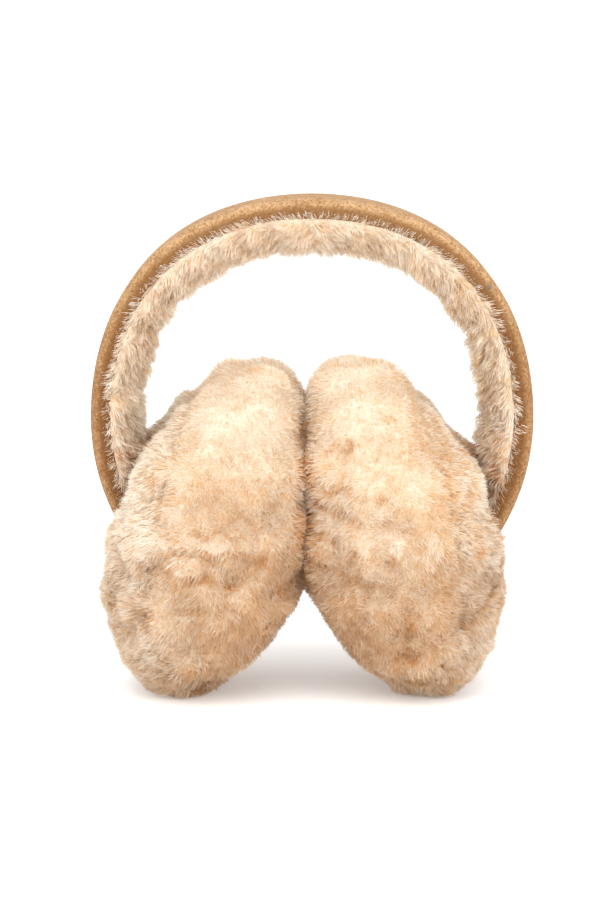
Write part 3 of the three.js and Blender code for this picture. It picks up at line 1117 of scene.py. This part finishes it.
@dataclass
class EarPad:
    """One pad: a cushion on the ear's side, and a panel sewn over its outside.

    TONES and SHARES say how much each influence on the fleece counts. Shade, pale and warm wander over
    the pad, chance is a clump's own and strand a strand's own, and tuft is high in the middle of a lock.
    Pressed is a crease's depth, seat is next to the band's end, met is where the pads press together,
    and high, rosy and under are heights on the pad.
    """

    name: str
    side: int
    hoop: Hoop
    creases: tuple[Crease, ...]
    patches: tuple[Patch, ...]
    cushion: Growth
    panel: Growth
    voxel: float = 2.4
    rounds: int = 22
    inset: float = 1.3
    relief: float = 0.6
    upright: float = 62.0
    lock: float = 5.5
    crown: float = 0.0
    shoulder: float = 2.0
    hide: float = 1.6
    height: float = 131.0
    contact: float = -2.6
    forms: dict[str, SoftForm] = field(default_factory=dict)

    # The form: its swells, and where its crown, its shoulder and its flat face begin and end
    BROAD_SWELL = Wander(17.0, 11)
    FINE_SWELL = Wander(7.0, 23, 0.5)
    SWELL_CALMED = 0.9
    CROWN_RISE = (108.0, 124.0)
    SHOULDER_RISE = (88.0, 104.0)
    SHOULDER_REACH = (36.0, 46.0)
    FACE_REACH = (1.0, 7.0)
    FACE_SHARE = 0.15
    SEAT_RADIUS = 2.2
    SEAT_REACH = (50.0, 62.0)
    CREASE_FRONT = (6.0, 22.0)
    CREASE_MEAN = 0.9
    CREASE_WANDER = Wander(8.0, 37, 0.6)
    CREASE_LIMITS = (0.15, 1.6)

    # How the strands lie and how long they are
    SIDEWAYS = 0.25
    DOWNWARD = 0.55
    OUTWARD = 0.5
    OUTWARD_REACH = (30.0, 62.0)
    INWARD = 0.9
    INWARD_REACH = (-14.0, -3.0)
    LOCK_SEED = 13
    BROAD_WAY = Wander(26.0, 301, 0.4)
    LOCK_WAY = Wander(9.0, 77, 0.55)
    LOCK_CALMED = 0.85
    CALM_FLOW = 1.2
    DROOP = 0.22
    DROOP_REACH = (0.4, 0.75)
    LIE_WANDER = Wander(15.0, 91, 0.14)
    CHANCE_CALMED = 0.8
    TUFT = Wander(6.0, 83)
    MET_WIDTH = 3.0
    MET_FALL = (118.0, 15.0)
    LENGTHS = {"all": 1.0, "chance": 0.07, "tuft": 0.16}
    LENGTH_CALMED = 0.25
    LENGTH_MET = 0.3

    # What tones and colours them
    SHADE_WANDER = Wander(21.0, 55)
    PALE_WANDER = Wander(19.0, 64)
    WARM_WANDER = Wander(28.0, 42)
    HIGH_RISE = (0.35, 0.75)
    ROSY_FALL = (0.66, 0.3)
    UNDER_FALL = (0.68, 0.38)
    # Painted light and shade in these tables: under, pressed, seat and met darken or brown the fleece, met
    # and outer lighten it, and tuft lightens the longer locks and darkens the gaps between them.
    TONES = {
        "all": 0.92, "shade": 0.04, "chance": 0.03, "strand": 0.03, "tuft": 0.07, "pressed": -0.06,
        "seat": -0.25, "outer": 0.05, "under": -0.46, "met": 0.20,
    }
    SHARES = {
        Hue.CREAM: {"all": 0.40, "high": 0.5},
        Hue.ROSE: {"all": 0.10, "rosy": 0.75},
        Hue.WHITE: {"all": 0.06, "pale": 0.06, "outer": 0.5, "tuft": 0.45},
        Hue.AMBER: {"all": 0.22, "warm": 0.12, "pressed": 0.8, "met": 0.5, "tuft": -0.45},
        Hue.TAN: {"pressed": 0.4, "met": 2.2, "tuft": -0.08, "seat": 1.2},
    }

    def build_forms(self) -> list[bpy.types.Object]:
        """Makes the soft forms of both panels from the whole pad, with its creases pressed in."""
        nodes = {part: f"{self.name}_{part}_fur" for part in ("ear_side", "outer")}
        whole = SoftForm(f"{self.name}_pad", tuple(nodes.values()), self.voxel, self.rounds)
        points = whole.points()
        apart = self.apart(points)
        swell = self.relief * (self.BROAD_SWELL.at(points, self.side) + self.FINE_SWELL.at(points))
        swell *= 1.0 - self.SWELL_CALMED * self.calm(points)
        swell += self.crown * smooth_step(points[:, 2], *self.CROWN_RISE)
        high = smooth_step(points[:, 2], *self.SHOULDER_RISE)
        swell -= self.shoulder * high * smooth_step(apart, *self.SHOULDER_REACH)
        offset = whole.normals() * (swell - self.pressed(points) - self.inset)[:, None]
        offset[:, 0] *= self.FACE_SHARE + (1.0 - self.FACE_SHARE) * smooth_step(apart, *self.FACE_REACH)
        whole.move(offset)
        for part, node in nodes.items():
            others = tuple(other for other in nodes.values() if other != node)
            self.forms[part] = whole.part(f"{self.name}_{part}_hide", node, others)
        whole.remove()
        return [form.piece for form in self.forms.values()]

    def calm(self, points: np.ndarray) -> np.ndarray:
        """How evenly the fleece stands at each point, from 0 to 1."""
        return np.clip(sum(patch.calm * patch.weight(points) for patch in self.patches), 0.0, 1.0)

    def apart(self, points: np.ndarray) -> np.ndarray:
        """How far each point is from the plane where the pads press together."""
        return (points[:, 0] - self.contact) * self.side

    def seat(self, points: np.ndarray) -> np.ndarray:
        """How near each point is to the band's end where it goes into the pad, from 0 to 1; the fleece there
        is painted darker and browner, as shade.
        """
        over = np.maximum(-self.hoop.depth(points), 0.0)
        beside = np.maximum(np.abs(points[:, 1]) - self.hoop.width / 2, 0.0)
        near = np.exp(-(np.hypot(over, beside) / self.SEAT_RADIUS) ** 2)
        return near * smooth_step(self.apart(points), *self.SEAT_REACH)

    def pressed(self, points: np.ndarray) -> np.ndarray:
        """How deep the creases press the fleece in at each point."""
        depth = np.zeros(len(points))
        shown = smooth_step(np.abs(points[:, 1]), *self.CREASE_FRONT)
        for crease in self.creases:
            gap = line_distance(points[:, [0, 2]], np.array(crease.line))
            depth = np.maximum(depth, crease.depth * np.exp(-(gap / crease.width) ** 2) * shown)
        return depth * np.clip(self.CREASE_MEAN + self.CREASE_WANDER.at(points), *self.CREASE_LIMITS)

    def lay_strands(self, strands: Strands, up: np.ndarray, calm: np.ndarray, lock: np.ndarray) -> None:
        """Sets which way the strands of one panel flow and how steeply they stand.

        Args:
            strands: The strands, changed in place.
            up: How high on the pad each is, as a share of its height.
            calm: How evenly the fleece stands there.
            lock: The middle of the lock that each belongs to.
        """
        place = strands.root[strands.clump]
        beside = place[:, 0] * self.side
        outward = (
            self.OUTWARD * smooth_step(beside, *self.OUTWARD_REACH)
            - self.INWARD * smooth_step(-beside, *self.INWARD_REACH)
        )
        flow = np.zeros((len(place), 3))
        flow[:, 0] = self.side * (self.SIDEWAYS + outward)
        flow[:, 2] = -self.DOWNWARD
        loose = (1.0 - self.LOCK_CALMED * calm)[:, None]
        strands.flow = flow + self.BROAD_WAY.way(strands.root, self.side) + loose * self.LOCK_WAY.way(lock)
        strands.flow *= (1.0 + self.CALM_FLOW * calm)[:, None]
        droop = self.DROOP * smooth_step(1.0 - up, *self.DROOP_REACH)
        strands.lie += (self.LIE_WANDER.at(place) - droop) * (1.0 - calm)
        strands.lie += calm * (math.radians(self.upright) - strands.lie)

    def shape_strands(self, strands: Strands, outer: bool, rng: np.random.Generator) -> dict[Hue, np.ndarray]:
        """Lays, shortens and tones the strands of one panel.

        Args:
            strands: The strands, changed in place.
            outer: Whether they are the outer panel's.
            rng: Where chance comes from.

        Returns:
            How likely each hue is for each strand.
        """
        place = strands.root[strands.clump]
        count = len(place)
        up = place[:, 2] / self.height
        calm = self.calm(place)
        lock = lock_cells(strands.root, self.lock, self.LOCK_SEED)
        self.lay_strands(strands, up, calm, lock)
        near = np.exp(-((self.apart(strands.root) / self.MET_WIDTH) ** 2))
        influences = {
            "all": 1.0,
            "chance": rng.normal(size=count)[strands.clump] * (1.0 - self.CHANCE_CALMED * calm),
            "strand": rng.normal(size=count),
            "shade": self.SHADE_WANDER.at(place),
            "pale": self.PALE_WANDER.at(place),
            "warm": self.WARM_WANDER.at(place),
            # Partly painted light and shade: longer locks are lighter and whiter, and the gaps between them
            # darker and more amber.
            "tuft": self.TUFT.at(lock) * (1.0 - calm),
            # Pressed also paints shade: the creases' fleece is darker and browner.
            "pressed": self.pressed(strands.root),
            # Painted shade: seat darkens and browns the fleece next to the band's end.
            "seat": self.seat(strands.root),
            # Painted light and shade where the pads meet: a brown line of painted shade, with its tone lifted
            # against the gap's own shadow.
            "met": near * fall(place[:, 2], *self.MET_FALL),
            "high": smooth_step(up, *self.HIGH_RISE),
            "rosy": fall(up, *self.ROSY_FALL),
            # Painted shade: under lowers the tone low on the pad, where less light falls from above.
            "under": fall(up, *self.UNDER_FALL),
            # Painted light: the outer panel's fleece is a little lighter where it turns away from the lamps;
            # its whiter hue is partly its own.
            "outer": float(outer),
        }
        strands.length *= weigh(self.LENGTHS, influences) * (1.0 - self.LENGTH_CALMED * calm)
        strands.length *= 1.0 + self.LENGTH_MET * influences["met"]
        strands.tone = weigh(self.TONES, influences)
        shares = {hue: weigh(weights, influences) for hue, weights in self.SHARES.items()}
        for patch in self.patches:
            weight = patch.weight(place)
            shares[patch.hue] += patch.amount * weight
            strands.tone += patch.tone * weight
        return shares

    def build(
        self, band: BandSuede, others: list[bpy.types.Object], fur: dict[str, bpy.types.Material],
        wool: bpy.types.Material,
    ) -> None:
        """Grows the fleece of both panels and dresses them.

        Args:
            band: The suede cover.
            others: Everything that the strands keep clear of.
            fur: Strand materials by slot.
            wool: The under-wool's material.
        """
        growths = (("ear_side", self.cushion, "pad_fur"), ("outer", self.panel, "outer_fur"))
        for part, growth, slot in growths:
            form = self.forms[part]
            partner = [other.piece for key, other in self.forms.items() if key != part]
            fleece = Fleece(f"{self.name}_{part}_fleece", form, growth)
            strands = fleece.roots(Neighbours(others + partner))
            shares = self.shape_strands(strands, part == "outer", fleece.rng)
            strands.hue = fleece.choose_hues(strands, shares)
            settle(fleece.weave(strands, band, (self.contact, self.side)), fur[slot])
        for part, _, slot in growths:
            form = self.forms[part]
            bare = form.unclumped()
            shares = self.shape_strands(bare, part == "outer", np.random.default_rng(self.cushion.seed))
            form.colour_and_shade(bare.tone, shares)
            form.thicken(self.hide)
            settle(form.piece, wool, form.nodes)


# Lining


@dataclass
class BandLining:
    """The fleece inside the band: tufts that stand into the head opening and splay over the suede's rim.

    TONES and SHARES say how much each influence on the fleece counts: shade, creamy, rosy and warm wander
    over the lining, chance is a clump's own, strand a strand's own, and low is next to the pads.
    """

    hoop: Hoop
    growth: Growth
    voxel: float = 2.2
    rounds: int = 7
    inset: float = 2.2
    low_inset: float = 1.5
    lock: float = 9.0
    spill: float = 0.2
    form: SoftForm | None = None

    # The form: where it is thinner low down, and where it spills over the lips
    THIN_FALL = (152.0, 26.0)
    LIP_FALL = (13.5, 5.0)

    # How the strands lie and how long they are
    SPLAY_REACH = (62.0, 74.0)
    SPLAY_LEAST = 0.2
    SPLAY_WANDER = Wander(20.0, 333)
    SPLAY_LIMITS = (-0.5, 0.7)
    TOP_SHARE = 0.15
    TOP_FALL = (172.0, 30.0)
    OUTWARD = 1.05
    INWARD = 0.35
    ALONG = 1.15
    FACING = 0.3
    LOCK_SEED = 5
    LOCK_WAY = Wander(15.0, 501, 0.5)
    STRAND_WAY = Wander(6.0, 88, 0.3)
    LIE_WANDER = Wander(12.0, 19, 0.18)
    LIE_CHANCE = 0.08
    LENGTH_CHANCE = 0.10
    LENGTH_LEAST = 0.9
    LENGTH_SPLAYED = 0.5
    UNEVEN_WANDER = Wander(3.2, 707, 0.18)
    UNEVEN_CHANCE = 0.10
    UNEVEN_REACH = (64.0, 74.0)
    UNEVEN_LIMITS = (0.5, 1.5)

    # What tones and colours them
    SHADE_WANDER = Wander(9.0, 57)
    CREAMY_WANDER = Wander(30.0, 14)
    ROSY_WANDER = Wander(14.0, 15)
    WARM_WANDER = Wander(25.0, 16)
    LOW_FALL = (110.0, 30.0)
    TONES = {"all": 1.0, "shade": 0.04, "chance": 0.03, "strand": 0.03, "low": -0.2}
    SHARES = {
        Hue.CREAM: {"all": 0.40, "creamy": 0.15},
        Hue.ROSE: {"all": 0.30, "rosy": 0.3, "low": 0.3},
        Hue.WHITE: {"all": 0.60, "chance": 0.15},
        Hue.AMBER: {"all": 0.14, "warm": 0.08},
        Hue.TAN: {"low": 0.25},
    }

    def build_form(self) -> bpy.types.Object:
        """Makes the lining's soft form."""
        self.form = SoftForm("band_wool", ("band_fur",), self.voxel, self.rounds)
        points = self.form.points()
        low = fall(points[:, 2], *self.THIN_FALL)
        lip = fall(self.hoop.depth(points), *self.LIP_FALL)
        inset = (self.inset + self.low_inset * low) * (1.0 - lip) - self.spill * lip
        self.form.move(self.form.normals() * -inset[:, None])
        return self.form.piece

    def shape_strands(self, strands: Strands, rng: np.random.Generator) -> dict[Hue, np.ndarray]:
        """Lays and tones the lining's strands.

        Args:
            strands: The strands, changed in place.
            rng: Where chance comes from.

        Returns:
            How likely each hue is for each strand.
        """
        place = strands.root[strands.clump]
        count = len(place)
        away = self.hoop.away(place)
        reach = np.linalg.norm(away, axis=1)
        radial = unit(away)
        tangent = np.stack([radial[:, 2], np.zeros(count), -radial[:, 0]], axis=1) * np.sign(place[:, :1])
        facing = np.sign(place[:, 1:2]) * np.array([[0.0, 1.0, 0.0]])
        sides = self.TOP_SHARE + (1.0 - self.TOP_SHARE) * fall(place[:, 2], *self.TOP_FALL)
        tufts = smooth_step(self.SPLAY_WANDER.at(place), *self.SPLAY_LIMITS)
        splay = smooth_step(reach, *self.SPLAY_REACH) * (self.SPLAY_LEAST + (1.0 - self.SPLAY_LEAST) * tufts)
        lock = lock_cells(strands.root, self.lock, self.LOCK_SEED)
        strands.flow = (
            radial * (self.OUTWARD * splay * sides - self.INWARD)[:, None] + tangent * self.ALONG
            + facing * self.FACING * (1.0 - splay)[:, None]
            + self.LOCK_WAY.way(lock) + self.STRAND_WAY.way(strands.root)
        )
        chance = rng.normal(size=count)[strands.clump]
        uneven = self.UNEVEN_WANDER.at(strands.root) + self.UNEVEN_CHANCE * rng.normal(size=count)
        influences = {
            "all": 1.0,
            "chance": chance,
            "strand": rng.normal(size=count),
            "shade": self.SHADE_WANDER.at(lock),
            "creamy": self.CREAMY_WANDER.at(place),
            "rosy": self.ROSY_WANDER.at(place),
            "warm": self.WARM_WANDER.at(place),
            "low": fall(place[:, 2], *self.LOW_FALL),
        }
        strands.lie += self.LIE_WANDER.at(place) + self.LIE_CHANCE * chance
        splayed = self.LENGTH_LEAST + self.LENGTH_SPLAYED * splay * sides
        strands.length *= (1.0 + self.LENGTH_CHANCE * chance) * splayed
        swing = 1.0 + uneven * smooth_step(reach, *self.UNEVEN_REACH)
        strands.length *= np.clip(swing, *self.UNEVEN_LIMITS)
        strands.tone = weigh(self.TONES, influences)
        return {hue: weigh(weights, influences) for hue, weights in self.SHARES.items()}

    def build(
        self, band: BandSuede, others: list[bpy.types.Object], fur: bpy.types.Material,
        wool: bpy.types.Material,
    ) -> None:
        """Grows and dresses the lining.

        Args:
            band: The suede cover.
            others: Everything that the strands keep clear of.
            fur: The strands' material.
            wool: The under-wool's material.
        """
        fleece = Fleece("band_fleece", self.form, self.growth)
        strands = fleece.roots(Neighbours(others))
        strands.hue = fleece.choose_hues(strands, self.shape_strands(strands, fleece.rng))
        settle(fleece.weave(strands, band), fur)
        bare = self.form.unclumped()
        shares = self.shape_strands(bare, np.random.default_rng(self.growth.seed))
        self.form.colour_and_shade(bare.tone, shares)
        settle(self.form.piece, wool, self.form.nodes)


# Studio


@dataclass(frozen=True)
class Lamp:
    """A square soft light: its place and size in metres, and its power in watts."""

    name: str
    place: tuple[float, float, float]
    size: float
    power: float

    def build(self, target: Vector) -> None:
        """Hangs the light so that it faces a target."""
        lamp = bpy.data.lights.new(self.name, "AREA")
        lamp.size = self.size
        lamp.energy = self.power
        holder = new_piece(self.name, lamp)
        holder.location = self.place
        holder.rotation_euler = (target - Vector(self.place)).to_track_quat("-Z", "Y").to_euler()


@dataclass(frozen=True)
class Studio:
    """A pale floor, soft light from all round and a little stronger from above, and the camera."""

    target: tuple[float, float, float] = (0.0, 0.0, 96.0)
    offset: tuple[float, float] = (-4.6, -2.7)
    turn: float = 0.0
    elevation: float = 9.0
    distance: float = 1050.0
    lens: float = 109.2
    sensor: float = 36.0
    clip: tuple[float, float] = (0.01, 20.0)
    floor: tuple[float, float, float] = (0.90, 0.90, 0.895)
    floor_roughness: float = 0.9
    floor_glow: float = 0.22
    reach: float = 3.4
    sweep: float = 0.6
    wall: float = 1.1
    sweep_steps: int = 16
    floor_steps: int = 96
    weld: float = 1e-5
    white: tuple[float, float, float, float] = (1.0, 1.0, 1.0, 1.0)
    ambient: float = 0.96
    lamps: tuple[Lamp, ...] = (
        Lamp("key", (-0.15, -0.9, 1.5), 1.4, 20.0),
        Lamp("left fill", (-1.3, -0.9, 0.5), 1.2, 7.5),
        Lamp("fill", (1.1, -1.1, 0.7), 1.2, 10.0),
    )

    def build(self) -> None:
        """Sets up the floor, the lights and the camera."""
        self.build_floor()
        for lamp in self.lamps:
            lamp.build(Vector(self.target) * MM)
        world = bpy.data.worlds.new("studio")
        world.use_nodes = True
        world.node_tree.nodes["Background"].inputs["Color"].default_value = self.white
        world.node_tree.nodes["Background"].inputs["Strength"].default_value = self.ambient
        bpy.context.scene.world = world
        bpy.context.scene.view_settings.view_transform = "Standard"
        self.place_camera()

    def build_floor(self) -> None:
        """A pale round floor under the feet that curves up far away into a low backdrop all round."""
        ground = bmesh.new()
        middle = ground.verts.new((0.0, 0.0, 0.0))
        inner = ground.verts.new((self.reach - self.sweep, 0.0, 0.0))
        ground.edges.new((middle, inner))
        bend = bmesh.ops.spin(
            ground, geom=[inner], cent=(self.reach - self.sweep, 0.0, self.sweep), axis=(0.0, -1.0, 0.0),
            angle=math.pi / 2, steps=self.sweep_steps,
        )["geom_last"]
        rim = ground.verts.new((self.reach, 0.0, self.wall))
        ground.edges.new((next(item for item in bend if isinstance(item, bmesh.types.BMVert)), rim))
        bmesh.ops.spin(
            ground, geom=ground.verts[:] + ground.edges[:], cent=(0.0, 0.0, 0.0), axis=(0.0, 0.0, 1.0),
            angle=2.0 * math.pi, steps=self.floor_steps,
        )
        bmesh.ops.remove_doubles(ground, verts=ground.verts, dist=self.weld)
        bmesh.ops.recalc_face_normals(ground, faces=ground.faces)
        if next(iter(ground.faces)).normal.z < 0.0:
            bmesh.ops.reverse_faces(ground, faces=ground.faces)
        for face in ground.faces:
            face.smooth = True
        floor = shell_piece("floor", ground)
        material = new_material("pale floor", {
            "Base Color": (*self.floor, 1.0), "Roughness": self.floor_roughness,
            "Emission Color": self.white, "Emission Strength": self.floor_glow,
        })[0]
        floor.data.materials.append(material)

    def place_camera(self) -> None:
        """The camera at the photograph's angle, aimed so that the object lands where it does there."""
        turn, lift = math.radians(self.turn), math.radians(self.elevation)
        away = Vector((math.sin(turn) * math.cos(lift), -math.cos(turn) * math.cos(lift), math.sin(lift)))
        right = Vector((math.cos(turn), math.sin(turn), 0.0))
        up = away.cross(right)
        aim = Vector(self.target) + right * self.offset[0] + up * self.offset[1]
        data = bpy.data.cameras.new("camera")
        data.sensor_fit = "VERTICAL"
        data.sensor_height = self.sensor
        data.lens = self.lens
        data.clip_start, data.clip_end = self.clip
        camera = new_piece("camera", data)
        camera.location = (aim + away * self.distance) * MM
        camera.rotation_euler = (-away).to_track_quat("-Z", "Y").to_euler()
        bpy.context.scene.camera = camera


# Assembly

LEFT_CREASES = (
    Crease(
        ((-51.3, 61.6), (-42.9, 63.8), (-35.6, 60.5), (-29.3, 62.0), (-22.7, 59.4), (-16.1, 60.5)), 1.9, 2.0,
    ),
    Crease(((-48.4, 52.0), (-39.2, 53.8), (-31.9, 50.8), (-26.4, 53.1)), 1.4, 1.8),
    Crease(((-44.7, 71.6), (-39.2, 69.0), (-33.0, 71.6), (-28.2, 69.8)), 1.2, 1.6),
    Crease(((-52.0, 40.1), (-42.9, 42.0), (-35.6, 39.0)), 1.2, 1.8),
    Crease(((-63.0, 56.0), (-56.4, 58.3)), 2.2, 3.0),
    Crease(((-67.4, 30.8), (-62.3, 38.2)), 2.2, 3.0),
    Crease(((-54.6, 86.5), (-56.4, 71.6), (-52.8, 65.0)), 0.6, 2.6),
)
RIGHT_CREASES = (
    Crease(((9.2, 101.3), (12.1, 98.3), (15.0, 100.6), (13.2, 102.8)), 1.5, 1.3),
    Crease(((0.0, 86.5), (6.6, 83.9), (12.1, 85.4), (19.4, 81.6), (26.8, 82.8)), 1.0, 1.5),
    Crease(((2.2, 77.2), (10.3, 75.3), (18.3, 71.6), (26.8, 73.8), (34.0, 70.5)), 1.3, 1.6),
    Crease(((0.0, 68.0), (8.4, 65.0), (14.7, 60.1), (24.2, 62.0), (30.4, 58.3)), 1.3, 1.6),
    Crease(((2.2, 55.0), (10.3, 53.0), (19.4, 49.4), (28.6, 50.8)), 1.1, 1.7),
    Crease(((36.7, 42.7), (34.1, 37.5), (35.9, 29.0)), 2.4, 1.6),
    Crease(((70.0, 44.0), (61.6, 37.5), (52.4, 29.0), (41.4, 22.7), (32.3, 21.5)), 2.3, 2.2),
)
# The tone lifts on the white patches at the left pad's outer edge and shoulder are painted light: they
# lighten fleece that turns away from the lamps. Their white hue is the fleece's own.
LEFT_PATCHES = (
    Patch((-33.0, 84.0), (22.0, 14.0), Hue.AMBER, 1.5, -0.26, 0.9),
    Patch((-26.0, 114.0), (30.0, 24.0), Hue.CREAM, 1.6, 0.06, 1.0),
    Patch((-66.0, 66.0), (14.0, 36.0), Hue.WHITE, 3.0, 0.20),
    Patch((-40.0, 62.0), (14.0, 6.0), Hue.WHITE, 0.7, 0.08),
    Patch((-19.0, 36.0), (12.0, 14.0), Hue.AMBER, 0.8, 0.14),
    Patch((-59.0, 108.0), (10.0, 15.0), Hue.WHITE, 1.0, 0.16),
    Patch((-38.0, 46.0), (9.0, 5.0), Hue.WHITE, 0.6, 0.10),
    Patch((-62.0, 22.0), (14.0, 16.0), Hue.WHITE, 1.2, 0.18),
)
RIGHT_PATCHES = (
    Patch((34.0, 102.0), (24.0, 20.0), Hue.AMBER, 0.8, -0.02, 1.0),
    Patch((47.0, 76.0), (10.0, 8.0), Hue.AMBER, 1.6),
    Patch((16.0, 124.0), (24.0, 20.0), Hue.WHITE, 0.9, 0.04, 0.9),
    Patch((66.0, 40.0), (10.0, 30.0), Hue.WHITE, 1.2, 0.14),
    Patch((56.0, 22.0), (14.0, 11.0), Hue.WHITE, 0.8, 0.14),
    Patch((15.0, 66.0), (18.0, 16.0), Hue.WHITE, 0.5, 0.10),
    Patch((61.0, 100.0), (10.0, 16.0), Hue.WHITE, 0.8, 0.14),
    Patch((36.0, 52.0), (16.0, 12.0), Hue.CREAM, 0.6, 0.08),
)

LINING_GROWTH = Growth(
    strands=62000, length=4.3, width=0.21, lie=50.0, clump=3.2, pull=0.42, sway=0.30, seed=61,
)
LEFT_CUSHION = Growth(
    strands=60000, length=3.1, width=0.21, lie=56.0, clump=1.8, pull=0.12, sway=0.28, seed=71,
)
LEFT_PANEL = Growth(
    strands=56000, length=4.4, width=0.24, lie=50.0, clump=2.6, pull=0.28, sway=0.26, seed=72,
)
RIGHT_CUSHION = Growth(
    strands=60000, length=3.1, width=0.21, lie=56.0, clump=1.8, pull=0.12, sway=0.28, seed=73,
)
RIGHT_PANEL = Growth(
    strands=56000, length=3.6, width=0.23, lie=54.0, clump=2.2, pull=0.18, sway=0.28, seed=74,
)
RIGHT_CROWN = 1.4


def main() -> None:
    """Builds the band, the lining and the pads, dresses them and sets up the studio."""
    logging.basicConfig(level=logging.INFO, format="%(message)s")
    names = {"pad_fur": "pad fleece", "outer_fur": "outer fleece", "lining_fur": "lining fleece"}
    fur = {slot: StrandFinish(name).material() for slot, name in names.items()}
    wool = UnderFinish("under-wool").material()
    hoop = Hoop()
    band = BandSuede(hoop)
    suede = band.build(SuedeFinish().material(SuedeNap().group()))
    lining = BandLining(hoop, LINING_GROWTH)
    pads = (
        EarPad("left", -1, hoop, LEFT_CREASES, LEFT_PATCHES, LEFT_CUSHION, LEFT_PANEL),
        EarPad(
            "right", 1, hoop, RIGHT_CREASES, RIGHT_PATCHES, RIGHT_CUSHION, RIGHT_PANEL, crown=RIGHT_CROWN,
        ),
    )
    lining_form = lining.build_form()
    forms = {pad.name: pad.build_forms() for pad in pads}
    lining.build(band, [suede, *forms["left"], *forms["right"]], fur["lining_fur"], wool)
    for pad, other in (pads, pads[::-1]):
        pad.build(band, [suede, lining_form, *forms[other.name]], fur, wool)
    Studio().build()


if __name__ == "__main__":
    main()
